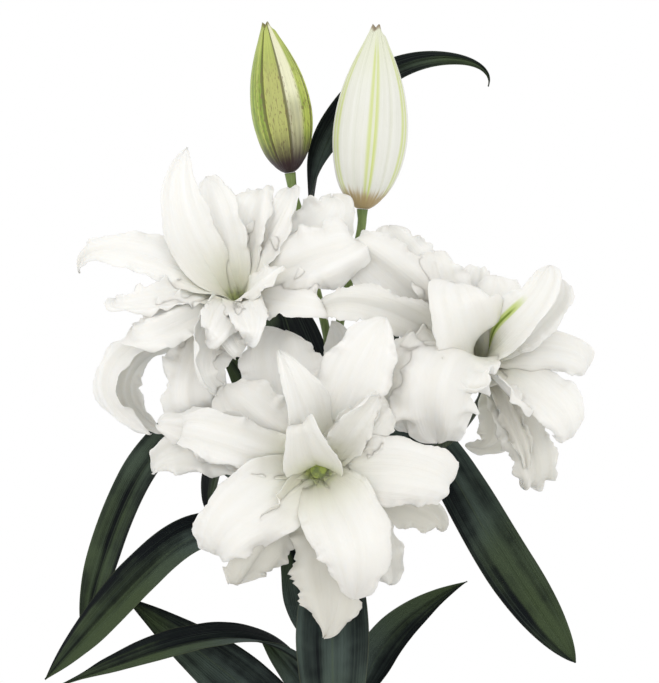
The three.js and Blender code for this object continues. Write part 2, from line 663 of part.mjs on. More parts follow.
// Stem with a stalk to every bloom and bud, each ending square below it
function stemGeometry() {
  const low = bulb.foot + bulb.height + gap;
  const ends = [vec([0, 0, low]), vec([0, 0, stemTop])];
  const bodies = [tube(ends, stemRadius, stemSides, 3)];
  for (const [name, points] of Object.entries(stalks)) {
    const { end, axis } = stalkEnd(name);
    const path = points.map(vec);
    path.push(end.clone().addScaledVector(axis, -stalkStraight));
    path.push(end);
    bodies.push(tube(path, stalkRadius, stalkSides, 3 * points.length));
  }
  return join(bodies.map(solid));
}

function stalkEnd(name) {
  if (blooms[name]) {
    const axis = vec(blooms[name].axis).normalize();
    return { axis, end: vec(blooms[name].base).addScaledVector(axis, receptacle[0][1] - gap) };
  }
  const axis = vec(buds[name].tip).sub(vec(buds[name].foot)).normalize();
  return { axis, end: vec(buds[name].foot).addScaledVector(axis, -gap) };
}

// One petal of a bloom
function petalGeometry(bloom, row) {
  const axis = vec(bloom.axis).normalize();
  const base = vec(bloom.base);
  const via = vec(row.via).add(base);
  const tip = vec(row.tip).add(base);
  const out = across(vec(row.via), axis);
  const chord = via.distanceTo(base) + tip.distanceTo(via);
  const grid = [longPetal, midPetal, smallPetal].find(({ from }) => chord >= from);
  const start = row.start ? vec(row.start) : axis.clone().addScaledVector(out, bloom.spread);
  const blade = {
    foot: bloom.foot,
    claw: bloom.claw,
    speed: footSpeed * chord,
    ...petalShape,
    ...row,
    base: base.addScaledVector(out, petalRing),
    via,
    tip,
    start: start.normalize(),
    inner: row.inner ? vec(row.inner) : out.clone().negate(),
    face: row.face ? vec(row.face) : null,
  };
  const columns = row.width < slimPetal ? 2 : grid.across;
  return sheet(bladeRows(blade, grid.rows, columns), petalThickness);
}

function bloomGeometry(bloom) {
  const axis = vec(bloom.axis).normalize();
  const centre = placed(turned(receptacle, receptacleSides), vec(bloom.base), axis);
  const petals = bloom.petals.map((row) => solid(petalGeometry(bloom, row)));
  return join([solid(centre), ...petals]);
}

// Bud: a spindle with three lobes that fade out towards its foot
function budGeometry({ foot, tip, width }) {
  const axis = vec(tip).sub(vec(foot));
  const length = axis.length();
  const profile = budProfile.map(([t, r]) => [r * width / 2, t * length]);
  const geometry = turned([[0, 0], ...profile, [0, length]], budSides);
  const place = geometry.attributes.position;
  for (let i = 0; i < place.count; i++) {
    const [x, y, z] = [place.getX(i), place.getY(i), place.getZ(i)];
    const round = Math.abs(Math.cos(budLobes / 2 * Math.atan2(y, x)));
    const lobe = budLobe * (round - budRound);
    const grow = 1 + lobe * smooth(z / length, 0, 0.3);
    place.setXY(i, x * grow, y * grow);
  }
  return closedFrom(placed(geometry, vec(foot), axis.normalize()));
}

// The points of a leaf that arches outwards: via lies past half the reach and
// the tip at the full reach
function archOf({ at, turn, reach, rise, fall }) {
  const angle = THREE.MathUtils.degToRad(turn);
  const [x, y] = [Math.cos(angle), Math.sin(angle)];
  const middle = archMiddle * reach;
  return {
    start: [x, y, archLift],
    via: [x * middle, y * middle, at + rise],
    tip: [x * reach, y * reach, at + fall],
    face: [0, 0, 1],
  };
}

// A leaf. Its foot lies at the stem's side, or at a base of its own.
function leafGeometry(row) {
  const blade = { ...leafShape, ...row };
  if (row.turn !== undefined) Object.assign(blade, archOf(row));
  for (const key of ['start', 'via', 'tip', 'inner', 'face']) blade[key] = vec(blade[key]);
  blade.start.normalize();
  if (row.base) {
    blade.base = vec(row.base);
  } else {
    const out = blade.start.clone().setZ(0).normalize();
    blade.base = vec([0, 0, row.at]).addScaledVector(out, stemRadius + leafThickness / 2 + gap);
  }
  const chord = blade.via.distanceTo(blade.base) + blade.tip.distanceTo(blade.via);
  blade.speed = row.speed ?? footSpeed * chord;
  return sheet(bladeRows(blade, leafRows, leafAcross), leafThickness);
}

add('pot', potGeometry(), clay);
add('soil', soilGeometry(), earth);
add('bulb', bulbGeometry(), bulbSkin);
add('stem', stemGeometry(), stalkGreen);
for (const [name, bloom] of Object.entries(blooms)) add(name, bloomGeometry(bloom), petalWhite);
add('bud_green', budGeometry(buds.bud_green), budGreen);
add('bud_white', budGeometry(buds.bud_white), budCream);
for (const [name, row] of Object.entries(leaves)) add(name, leafGeometry(row), leafGreen);
add('leaf_top', leafGeometry(topLeaf), leafGreen);

export default group;
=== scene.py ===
# Potted double oriental lily: petals, leaves, buds, stem, bulb, soil and pot
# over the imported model. Metres in Blender, millimetres in the tables.
import math

import bpy
import numpy as np
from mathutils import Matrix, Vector


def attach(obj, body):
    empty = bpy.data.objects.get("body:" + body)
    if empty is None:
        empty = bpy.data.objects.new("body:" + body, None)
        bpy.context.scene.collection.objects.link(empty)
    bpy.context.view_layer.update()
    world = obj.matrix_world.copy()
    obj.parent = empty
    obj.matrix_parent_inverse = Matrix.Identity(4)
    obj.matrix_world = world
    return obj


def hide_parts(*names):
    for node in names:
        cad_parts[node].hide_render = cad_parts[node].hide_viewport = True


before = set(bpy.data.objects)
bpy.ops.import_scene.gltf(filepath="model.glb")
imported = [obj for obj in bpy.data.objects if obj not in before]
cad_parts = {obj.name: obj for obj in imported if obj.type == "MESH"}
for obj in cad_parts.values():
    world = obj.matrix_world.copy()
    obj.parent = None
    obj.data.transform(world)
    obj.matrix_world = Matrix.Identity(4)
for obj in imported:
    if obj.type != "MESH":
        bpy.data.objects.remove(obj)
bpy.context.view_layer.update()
print("model loaded,", len(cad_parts), "nodes")


class Wire:
    # wraps a socket of a node tree, so that + - and * on it add Math nodes
    def __init__(self, tree, socket=None):
        self.tree, self.socket = tree, socket

    def node(self, kind, settings=None, values=None, out=0):
        # any node: its settings first, then the values or links of its sockets
        made = self.tree.nodes.new(kind)
        for name, value in (settings or {}).items():
            setattr(made, name, value)
        for name, value in (values or {}).items():
            if isinstance(value, Wire):
                self.tree.links.new(value.socket, made.inputs[name])
            else:
                made.inputs[name].default_value = value
        return Wire(self.tree, made.outputs[out])

    def maths(self, operation, *values):
        return self.node("ShaderNodeMath", {"operation": operation}, dict(enumerate(values)))

    def __add__(self, other): return self.maths("ADD", self, other)
    def __radd__(self, other): return self.maths("ADD", other, self)
    def __sub__(self, other): return self.maths("SUBTRACT", self, other)
    def __rsub__(self, other): return self.maths("SUBTRACT", other, self)
    def __mul__(self, other): return self.maths("MULTIPLY", self, other)
    def __rmul__(self, other): return self.maths("MULTIPLY", other, self)

    def size(self): return self.maths("ABSOLUTE", self)

    def wave(self): return self.maths("SINE", self)

    def rise(self, low, high):
        # 0 below low and 1 above high, or the other way round if low is larger
        ends = (0.0, 1.0) if low < high else (1.0, 0.0)
        values = {"Value": self, "From Min": min(low, high), "From Max": max(low, high),
                  "To Min": ends[0], "To Max": ends[1]}
        return self.node("ShaderNodeMapRange", {"interpolation_type": "SMOOTHSTEP"}, values)

    def mix(self, first, second):
        # first where this is 0 and second where it is 1; colours as three numbers
        a, b = (c if isinstance(c, Wire) else (*c, 1) for c in (first, second))
        return self.node("ShaderNodeMix", {"data_type": "RGBA"}, {0: self, 6: a, 7: b}, out=2)

    def noise(self, scale, detail=2.0, rough=0.5):
        values = {"Vector": self, "Scale": scale, "Detail": detail, "Roughness": rough}
        return self.node("ShaderNodeTexNoise", {}, values)

    def stretch(self, x, y, z):
        return self.node("ShaderNodeVectorMath", {"operation": "MULTIPLY"}, {0: self, 1: (x, y, z)})

    def parts(self):
        # the three numbers of a vector, each on its own
        made = self.node("ShaderNodeSeparateXYZ", {}, {0: self}).socket.node
        return [Wire(self.tree, socket) for socket in made.outputs]

    def bump(self, height, strength=0.8):
        # height in metres
        return self.node("ShaderNodeBump", {}, {"Height": height, "Distance": 1.0, "Strength": strength})

    def kept(self, name="kept"):
        # three numbers that the mesh keeps at each point, together and apart
        three = self.node("ShaderNodeAttribute", {"attribute_name": name}, out="Vector")
        return three, *three.parts()


def newMaterial(name, **uniform):
    # a Principled material, a start for its other nodes and the place on the
    # object; uniform values stand on the shader's own sockets
    material = bpy.data.materials.new(name)
    material.use_nodes = True
    shader = material.node_tree.nodes["Principled BSDF"]
    for socket, value in uniform.items():
        shader.inputs[socket.replace("_", " ")].default_value = value
    start = Wire(material.node_tree)
    return material, start, start.node("ShaderNodeTexCoord", out="Object")


def feed(material, **wires):
    # links each wire to the shader's socket of that name
    shader = material.node_tree.nodes["Principled BSDF"]
    for socket, wire in wires.items():
        material.node_tree.links.new(wire.socket, shader.inputs[socket.replace("_", " ")])
    return material


def floats(values):
    # the values as an array of floats
    return np.asarray(values, float)


def smoothStep(x, low, high):
    # 0 below low, 1 above high and an S between them
    s = np.clip((x - low) / (high - low), 0, 1)
    return s * s * (3 - 2 * s)


def unit(v):
    # v over its own length
    return v / np.maximum(np.linalg.norm(v, axis=-1, keepdims=True), 1e-12)


def draw(a, b):
    # a repeatable draw between 0 and 1 from two numbers
    s = np.sin(a * 12.9898 + b * 78.233) * 43758.5453
    return s - np.floor(s)


def fullTurn(sides):
    # even angles round a circle
    return np.linspace(0, 2 * np.pi, sides, endpoint=False)


def quadsOf(index):
    # the quads between neighbouring rows and columns of point numbers
    return np.stack([index[:-1, :-1], index[:-1, 1:], index[1:, 1:], index[1:, :-1]], -1)


def roundShell(rings, kept):
    # rings of points, the first and last of them drawn to one point; -1 marks
    # the missing fourth corner of the triangles there
    points, kept = (np.concatenate([a[0, :1], a[1:-1].reshape(-1, 3), a[-1, :1]]) for a in (rings, kept))
    first, last = np.zeros((1, rings.shape[1]), int), len(points) - 1
    index = np.vstack([first, np.arange(1, last).reshape(-1, rings.shape[1]), first + last])
    faces = quadsOf(np.hstack([index, index[:, :1]]))
    faces[0] = faces[0][:, [0, 2, 3, 3]]
    faces[[0, -1], :, 3] = -1
    return points, faces.reshape(-1, 4), kept


def meshFrom(name, shells):
    # one mesh from shells of points in mm, faces and kept numbers
    counts = np.cumsum([0] + [len(shell[0]) for shell in shells])
    points, kept = (np.concatenate([shell[k] for shell in shells]) for k in (0, 2))
    faces = [np.where(shell[1] < 0, -1, shell[1] + count) for shell, count in zip(shells, counts)]
    faces = np.concatenate(faces)
    corners, loops = (faces >= 0).sum(1), faces[faces >= 0]
    mesh = bpy.data.meshes.new(name)
    mesh.vertices.add(len(points))
    mesh.vertices.foreach_set("co", (points * 0.001).astype(np.float32).ravel())
    mesh.loops.add(len(loops))
    mesh.loops.foreach_set("vertex_index", loops.astype(np.int32))
    mesh.polygons.add(len(faces))
    mesh.polygons.foreach_set("loop_start", (np.cumsum(corners) - corners).astype(np.int32))
    mesh.polygons.foreach_set("use_smooth", np.ones(len(faces), bool))
    mesh.update(calc_edges=True)
    for label, columns in (("kept", kept[:, :3]), ("tint", kept[:, 3:])):
        if columns.size:
            layer = mesh.attributes.new(label, "FLOAT_VECTOR", "POINT")
            layer.data.foreach_set("vector", columns.astype(np.float32).ravel())
    return mesh


def addObject(name, data):
    # an object of the scene, at the origin
    made = bpy.data.objects.new(name, data)
    bpy.context.collection.objects.link(made)
    return made


def camel(node):
    # leaf_left_top becomes leafLeftTop
    first, *rest = node.split("_")
    return first + "".join(word.capitalize() for word in rest)


def pieceFrom(name, shells, material, slotName, node):
    # an object that stands for one node of the model
    mesh = meshFrom(name, shells)
    mesh.materials.append(material)
    piece = addObject(name, mesh)
    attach(piece, "root")
    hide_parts(node)
    print(name, "has", len(mesh.polygons), "faces")


def readLine(x, share, line):
    # the points of a line at x, where share is how far along it each point is
    return np.stack([np.interp(x, share, line[:, k]) for k in range(3)], 1)


def evenLine(points, steps):
    # the same line at equal steps: each share of its length looked up on it
    length = np.concatenate([[0], np.cumsum(np.linalg.norm(np.diff(points, axis=0), axis=1))])
    return readLine(np.linspace(0, length[-1], steps + 1), length, points)


def carriedFrames(points, inner):
    # along, normal and side at each point: each normal is the one before it,
    # less its part along the line
    along = unit(np.gradient(points, axis=0))
    normal = np.empty_like(points)
    last = floats(inner)
    for k, direction in enumerate(along):
        last = unit(last - (last @ direction) * direction)
        normal[k] = last
    return along, normal, np.cross(along, normal)


def smoothLine(points, perSpan):
    # cubic through the points, each tangent half the step between its neighbours
    p = floats(points)
    p = np.concatenate([[2 * p[0] - p[1]], p, [2 * p[-1] - p[-2]]])
    t = np.linspace(0, 1, perSpan, endpoint=False)[None, :, None]
    a, b, c, d = (p[k:len(p) - 3 + k, None, :] for k in range(4))
    line = 0.5 * (2 * b + (c - a) * t + (2 * a - 5 * b + 4 * c - d) * t**2 + (3 * b - a - 3 * c + d) * t**3)
    return np.concatenate([line.reshape(-1, 3), p[-2:-1]])


def smoothTable(pairs, x, width):
    # a table of pairs read at x and averaged over a short stretch
    xs, ys = zip(*pairs)
    reach = np.minimum(np.minimum(x - xs[0], xs[-1] - x), width)
    return np.mean([np.interp(x + share * reach, xs, ys) for share in np.linspace(-1, 1, 9)], 0)


def finerProfile(profile, step):
    # a profile with more points along its straight runs
    p = floats(profile)
    runs = []
    for a, b in zip(p, p[1:]):
        runs.append(np.linspace(a, b, max(1, round(np.linalg.norm(b - a) / step)), endpoint=False))
    return np.concatenate([*runs, p[-1:]])


def ringShell(r, angle, z, third):
    # rings of points round Z; they keep their angle's cosine and sine, and third
    c, s = np.cos(angle) + 0 * r, np.sin(angle) + 0 * r
    return roundShell(np.stack([r * c, r * s, z], -1), np.stack([c, s, third + 0 * r], -1))


def turnedShell(profile, sides, ripple=None):
    # profile of radius and height turned about Z, from pole to pole; ripple
    # moves its points
    profile = floats(profile)
    angle = fullTurn(sides)[None, :]
    r, z = profile[:, :1] + 0 * angle, profile[:, 1:] + 0 * angle
    if ripple:
        r, z = ripple(r, z, angle)
    return ringShell(r, angle, z, 0)


def tubeShell(points, radii, sides):
    # circle carried along a line, closed by a point at each end
    _, normal, side = carriedFrames(points, (0.3, 1, 0.2))
    order = np.clip(np.arange(-1, len(points) + 1), 0, len(points) - 1)
    share = (order / (len(points) - 1))[:, None]
    radius = np.interp(share, np.linspace(0, 1, len(radii)), radii)[..., None]
    angle = fullTurn(sides)
    ring = side[order][:, None] * np.cos(angle)[:, None] - normal[order][:, None] * np.sin(angle)[:, None]
    radius[[0, -1]] = 0
    kept = np.stack(np.broadcast_arrays(np.cos(angle), np.sin(angle), share), -1)
    return roundShell(points[order][:, None] + radius * ring, kept)


def placedShell(shell, base, axis):
    # a shell made about +Z, set on a base point along an axis
    turn = Vector((0, 0, 1)).rotation_difference(Vector(tuple(unit(floats(axis)))))
    return (shell[0] @ np.array(turn.to_matrix()).T + floats(base), *shell[1:])


def bladeSpine(blade):
    # cubic base + v t + a t^2 + b t^3 that leaves along start, passes via at the
    # share where and ends at tip; from the share bend on it turns by curl degrees
    base, via, tip = (floats(blade[key]) for key in ("base", "via", "tip"))
    where, steps = blade["where"], blade["steps"]
    v = unit(floats(blade["start"])) * blade["speed"]
    r1, r2 = via - base - v * where, tip - base - v
    b = (r1 - r2 * where**2) / (where**3 - where**2)
    t = np.linspace(0, 1, 2 * steps + 1)[:, None]
    points = evenLine(base + v * t + (r2 - b) * t**2 + b * t**3, steps)
    along, normal, side = carriedFrames(points, blade["inner"])
    if blade["curl"]:
        curled = smoothStep(np.linspace(0, 1, steps + 1), blade["bend"], 1.05)[1:, None]
        turn = np.radians(blade["curl"]) * curled
        step = np.linalg.norm(points[1] - points[0])
        moves = step * (along[1:] * np.cos(turn) - normal[1:] * np.sin(turn))
        points = np.concatenate([points[:1], points[0] + np.cumsum(moves, 0)])
        along, normal, side = carriedFrames(points, blade["inner"])
    return points, normal, side


def turnedSpine(blade):
    # the spine with its normal turned towards face, little at the foot and fully
    # from just before the middle on
    points, normal, side = bladeSpine(blade)
    share = np.linspace(0, 1, len(points))
    if "face" in blade:
        face, middle = floats(blade["face"]), round(0.55 * (len(points) - 1))
        turn = math.atan2(face @ side[middle], face @ normal[middle]) * smoothStep(share, 0, 0.45)
        cos, sin = np.cos(turn)[:, None], np.sin(turn)[:, None]
        normal, side = normal * cos + side * sin, side * cos - normal * sin
    return share, points, normal, side


def bladeOutline(t, blade):
    # half width as a share: a narrow foot, the widest place, then the tip
    wide = blade["wide"]
    grow = 1 - np.abs(1 - t / wide)**1.9 * (1 - blade["foot"])
    shrink = np.clip(1 - (np.clip(t - wide, 0, 1) / (1 - wide))**blade["taper"], 0, 1)**blade["point"]
    claw = blade["claw"] + (1 - blade["claw"]) * smoothStep(t, 0, 0.3)
    return np.maximum(claw * np.where(t < wide, grow, shrink), 0.03)


def edgeFrill(cycle, phase):
    # two waves some four and seven times as quick as the ruffle, swelling and fading
    quick = np.sin(3.8 * cycle + 1.7 * phase) + 0.6 * np.sin(6.7 * cycle + 3.1 * phase)
    return quick * (0.7 + 0.5 * np.sin(1.9 * cycle + 2.3 * phase))


def softFold(t, u, shift):
    # slow folds along the blade that wander sideways, and finer ones past its foot
    slow = np.sin(4.2 * u + 1.5 * np.sin(3.1 * t + shift) + shift) * (0.6 + 0.4 * np.sin(5 * t + 2 * shift))
    return slow + 0.5 * np.sin(9 * u * (1 - 0.3 * t) + 2.5 * t + 3 * shift) * smoothStep(t, 0.2, 0.7)


def bladeSurface(blade, rows, columns):
    # each row of points lies on an arc across the spine, waved, frilled and
    # toothed towards its edges, softly folded and creased along the midrib
    share, *lines = turnedSpine(blade)
    t = 1 - (1 - np.linspace(0, 1, rows + 1))**1.25  # rows crowd towards the tip
    points, normal, side = (readLine(t, share, line)[:, None] for line in lines)
    t, s = t[:, None], np.linspace(-1, 1, columns + 1)[None, :]
    u = s + 0.1 * np.sin(np.pi * s)  # columns crowd towards the edges
    far, outward = np.abs(u), np.sign(u)
    half = blade["width"] / 2 * bladeOutline(t, blade)
    bow = np.interp(t, (0, 0.5, 1), blade["cup"]) + 1e-4
    seed, edge = blade["seed"], np.where(u > 0, 1.0, 0.0)
    shift = 6.3 * draw(seed, 5)
    waves = blade["waves"] * (1 + 0.25 * (draw(seed, 3) - 0.5) + 0.3 * edge * (draw(seed, 4) - 0.5))
    phase = 2 * np.pi * (draw(seed, 1) + edge * draw(seed, 2))
    cycle = 2 * np.pi * waves * t
    free = smoothStep(t, 0.12, 0.45) * (1 - 0.7 * smoothStep(t, 0.85, 1))
    ribbed = smoothStep(t, 0, 0.1) * (1 - smoothStep(t, 0.8, 1))
    roll = np.where(u > 0, *np.broadcast_to(blade["roll"], 2)[::-1]) * half
    rolled = np.clip((far - 0.5) / 0.5, 0, 1)**2 * (0.75 + 0.45 * np.sin(1.4 * cycle + 2.1 * phase + shift))
    teeth = draw(np.round(t * rows) * 1.3, seed + 3 * edge) - 0.5
    arc, edgeArc = half * (1 - np.cos(u * bow)) / bow, half * (1 - np.cos(bow)) / bow
    lift = arc + blade["keel"] * (edgeArc * far - arc) - blade["rib"] * np.exp(-(u / 0.09)**2) * ribbed
    lift = lift + free * (blade["ruffle"] * far**2.2 * np.sin(cycle + phase) - roll * rolled
                          + blade["frill"] * far**4 * edgeFrill(cycle, phase)
                          + blade["fold"] * softFold(t, u, shift))
    reach = half * np.sin(u * bow) / bow - 0.35 * outward * roll * rolled * free
    wander = blade["frill"] * 0.6 * np.sin(2.6 * cycle + 2.9 * phase) + blade["jag"] * far**3 * teeth
    reach = reach + outward * far**5 * smoothStep(t, 0.25, 0.6) * (1 - smoothStep(t, 0.8, 0.96)) * wander
    return points + side * reach[..., None] + normal * lift[..., None], t, u


def bladeShell(blade, rows, columns):
    # the surface moved half its thickness along its normal to each side; the
    # thickness shrinks towards the edges and the tip, and a rim closes the gap
    grid, t, u = bladeSurface(blade, rows, columns)
    facing = unit(np.cross(np.gradient(grid, axis=1), np.gradient(grid, axis=0)))
    deep = blade["thick"] / 2 * np.clip(1.1 - 0.8 * np.abs(u)**3, 0.2, 1)
    deep = deep * (1 - 0.5 * smoothStep(t, 0.8, 1))
    points = np.concatenate([(grid + sign * facing * deep[..., None]).reshape(-1, 3) for sign in (1, -1)])
    count = (rows + 1) * (columns + 1)
    index = np.arange(count).reshape(rows + 1, columns + 1)
    rim = np.concatenate([index[0, :-1], index[:-1, -1], index[-1, :0:-1], index[:0:-1, 0]])
    ahead = np.roll(rim, -1)
    front, edge = quadsOf(index).reshape(-1, 4), np.stack([rim, rim + count, ahead + count, ahead], -1)
    quads = np.concatenate([front, (front + count)[:, ::-1], edge])
    place = np.stack(np.broadcast_arrays(u, t, floats([[blade["seed"]]])), -1).reshape(-1, 3)
    # tint: green, stripe and painted shade, shaded on the front and under on the back
    tint = np.tile(floats([blade[key] for key in ("green", "stripe", "shaded")]), (2 * count, 1))
    tint[count:, 2] = blade["under"]
    return points, quads, np.hstack([np.concatenate([place, place]), tint])


def chordOf(base, via, tip):
    # the way from base over via to tip
    return np.linalg.norm(via - base) + np.linalg.norm(tip - via)


def row(via, tip, width, seed, **shape):
    # a petal or leaf of a table, and what its shape has otherwise than its kind
    return {"via": via, "tip": tip, "width": width, "seed": seed, **shape}


# what a petal has unless its bloom or row says otherwise: thick, clear, ruffle,
# rib, frill, fold and jag in mm, curl in degrees, most others as shares; cup is
# half the arc across it at foot, middle and tip, in radians
petalShape = {
    "where": 0.5, "curl": 0, "bend": 0.68, "cup": (1.1, 0.35, 0.2), "ruffle": 2.5, "waves": 1.76,
    "rib": 0.6, "wide": 0.55, "taper": 1.9, "point": 0.75, "keel": 0.0, "roll": 0.2, "frill": 1.5,
    "fold": 1.3, "jag": 0.8, "thick": 0.8, "steps": 96, "speedShare": 0.9, "clear": 4,
    # shaded and under: painted shade on a petal's front and back, as shares
    "green": 0.0, "stripe": 0.0, "shaded": 0.0, "under": 0.15,
}
petalGrids = ((105, 84, 30), (60, 64, 26), (0, 44, 18))  # least length, rows, columns
# above and below: what its top and underside keep, in the order of a petal's numbers: u, t, seed, green,
# stripe and painted shade
receptacle = {
    "profile": [(0, -7), (4.2, -7), (7.5, -1), (6.5, 1), (3, 1.7), (0, 1.8)], "perSpan": 4, "sides": 32,
    "above": (0.9, 0.05, 0, 1, 0, 0), "below": (0.9, 0.16, 0, 0.7, 0, 0),
}

# via and tip are measured from the bloom's base; shaded and under paint shade on a petal's front and back
frontPetals = [
    row((12, 16, 45), (8, 28, 90), 30, 61),
    row((25, 10, 48), (32, 22, 90), 30, 62),
    row((7, -26, -53), (3, -26, -98), 52, 2, wide=0.62, taper=1.4, point=0.85, frill=3, fold=2.6, jag=3.6,
        roll=0.3, shaded=0.9),
    row((28, -8, -35), (43, 4, -69), 32, 3, point=0.5, frill=2.4, fold=2, shaded=0.6),
    row((48, 4, -18), (72, 18, -36), 34, 4, point=0.5, cup=(1.1, 0.5, 0.8), frill=2.4, shaded=1, under=0.9),
    row((-19, -4, 49), (-21, 12, 87), 52, 5, wide=0.6, taper=3, point=0.4, curl=20, ruffle=3, frill=2,
        shaded=0),
    row((19, -22, 49), (40, -16, 92), 46, 6, wide=0.6, point=0.8, ruffle=3.5, frill=2, shaded=0),
    row((-33, -16, 28), (-55, -8, 52), 46, 7, point=0.5, ruffle=3.5, frill=3, fold=2.6, shaded=0),
    row((-58, -16, 20), (-96, -4, 28), 34, 16, ruffle=4, frill=3.2, fold=2.6, jag=1.4),
    row((-58, -12, 12), (-109, 0, -3), 32, 8, wide=0.5, curl=55, frill=2.6, fold=2, shaded=0.3),
    row((-49, -32, 18), (-81, -16, 24), 34, 9, point=0.5, cup=(1.1, 0.5, 0.6), frill=2.2, fold=2),
    row((47, -30, 1), (86, -16, -17), 46, 10, wide=0.5, point=0.7, curl=60, ruffle=1.2, roll=0.3,
        green=0.4),
    row((-40, -40, -23), (-63, -22, -56), 54, 11, wide=0.45, taper=1.7, point=0.85, curl=30, fold=1.8,
        roll=(0.6, 0.15), green=0.45),
    row((-26, -26, -37), (-48, -14, -67), 42, 63, wide=0.6, taper=2.4, frill=2.4, fold=2.2,
        face=(0.1, -0.6, -0.7), shaded=0.95),
    row((17, -48, -32), (21, -30, -75), 52, 12, wide=0.45, taper=1.8, point=0.7, cup=(1, 0.1, -0.2),
        frill=1.4, fold=0.9, green=0.5),
    row((-10, -34, 42), (-24, -26, 73), 38, 13, wide=0.5, taper=1.5, point=1.1, cup=(1, 0.8, 0.9), ruffle=1,
        frill=0.3, face=(0.5, -0.9, 0.2)),
    row((19, -30, 25), (35, -28, 45), 28, 14, cup=(1, 0.9, 0.9), face=(0.3, -0.9, 0), shaded=0.4),
    row((26, -22, 25), (42, -16, 38), 34, 19, point=0.5, cup=(1, 0.5, 0.3), face=(0.1, -0.9, 0.1),
        shaded=0.4),
    row((-6, -38, 17), (-9, -30, 29), 41, 15, wide=0.4, foot=0.85, taper=1.5, point=1, cup=(1.2, 0.9, 0.7),
        ruffle=0.3, frill=0.2, fold=0.3, keel=0.35, roll=0, start=(0.05, -1, -0.15), inner=(0.1, -0.3, -1),
        speed=66, claw=0.9, shaded=0.4),
]
leftPetals = [
    row((-10, -22, 42), (-21, -4, 78), 34, 21, face=(-0.3, -0.95, 0.1)),
    row((6, -18, 45), (15, 2, 71), 32, 22, cup=(1.1, 0.8, 0.8), face=(-0.4, -0.9, 0.1)),
    row((18, -22, 39), (31, -8, 71), 30, 38, point=0.5, cup=(1.1, 0.8, 0.8), face=(-0.6, -0.8, 0.1)),
    row((36, -20, 36), (57, -8, 66), 44, 23, point=0.5, ruffle=4.5, frill=3.6, fold=2.5, jag=1.6,
        face=(-0.1, -0.95, 0.2)),
    row((40, -38, 25), (72, -32, 38), 46, 24, point=0.45, ruffle=4.5, frill=3.6, fold=2.5, jag=1.4,
        face=(0, -0.95, 0.3)),
    row((-63, -32, -24), (-133, -26, -28), 21, 25, wide=0.6, taper=2.6, curl=185, bend=0.42, roll=0.1,
        face=(-0.5, -0.8, 0.1), start=(-0.9, -0.4, 0.1), inner=(0, -0.2, 1), under=0.8),
    row((-54, -22, -28), (-116, -14, -36), 18, 26, wide=0.6, taper=2.6, curl=175, bend=0.42, roll=0.1,
        face=(0.6, -0.7, -0.2), start=(-0.9, -0.2, -0.1), inner=(0, -0.2, 1), shaded=0.5, under=0.8),
    row((-53, -40, 29), (-104, -30, 25), 34, 27, wide=0.35, point=0.95, curl=30, ruffle=1.2,
        face=(-0.1, -0.9, 0.4)),
    row((-28, -38, 41), (-31, -31, 95), 36, 28, wide=0.5, point=1, cup=(1, 0.35, 0.5), ruffle=0.8,
        frill=0.5, face=(0.3, -0.95, 0.1)),
    row((28, -44, 4), (51, -46, 0), 40, 29, point=0.5, ruffle=2, face=(-0.1, -0.8, 0.6)),
    row((-44, -46, 2), (-74, -38, 3), 26, 30, cup=(1, 0.8, 0.8), frill=2.4, jag=1.6, face=(0, -0.8, 0.6)),
    row((-35, -52, -9), (-63, -46, -14), 34, 31, point=0.55, frill=3, fold=2.4, face=(-0.1, -0.95, 0.3)),
    row((-22, -44, -28), (-28, -32, -58), 30, 33, point=0.6, ruffle=3, frill=4, fold=2.6, jag=1.6,
        face=(-0.2, -0.95, 0.2)),
    row((-23, -49, -33), (-12, -40, -65), 42, 32, point=0.5, ruffle=3, frill=4, fold=2.6, jag=1.8,
        face=(-0.1, -0.95, 0.2)),
    row((-19, -58, -19), (-9, -56, -54), 28, 34, cup=(1, 1, 1.2), face=(0.5, -0.8, 0)),
    row((-3, -58, -12), (5, -58, -26), 32, 35, cup=(1, 0.9, 1.1), face=(0, -0.7, 0.7)),
    row((-8, -65, -7), (-18, -71, -22), 28, 57, frill=0.8, fold=1.6, face=(0, -0.9, 0.4)),
    row((6, -67, -6), (5, -77, -22), 28, 58, frill=0.8, fold=1.6, face=(0, -0.8, 0.6)),
    row((11, -40, 12), (27, -46, 22), 24, 36, face=(-0.3, -0.8, 0.5)),
]
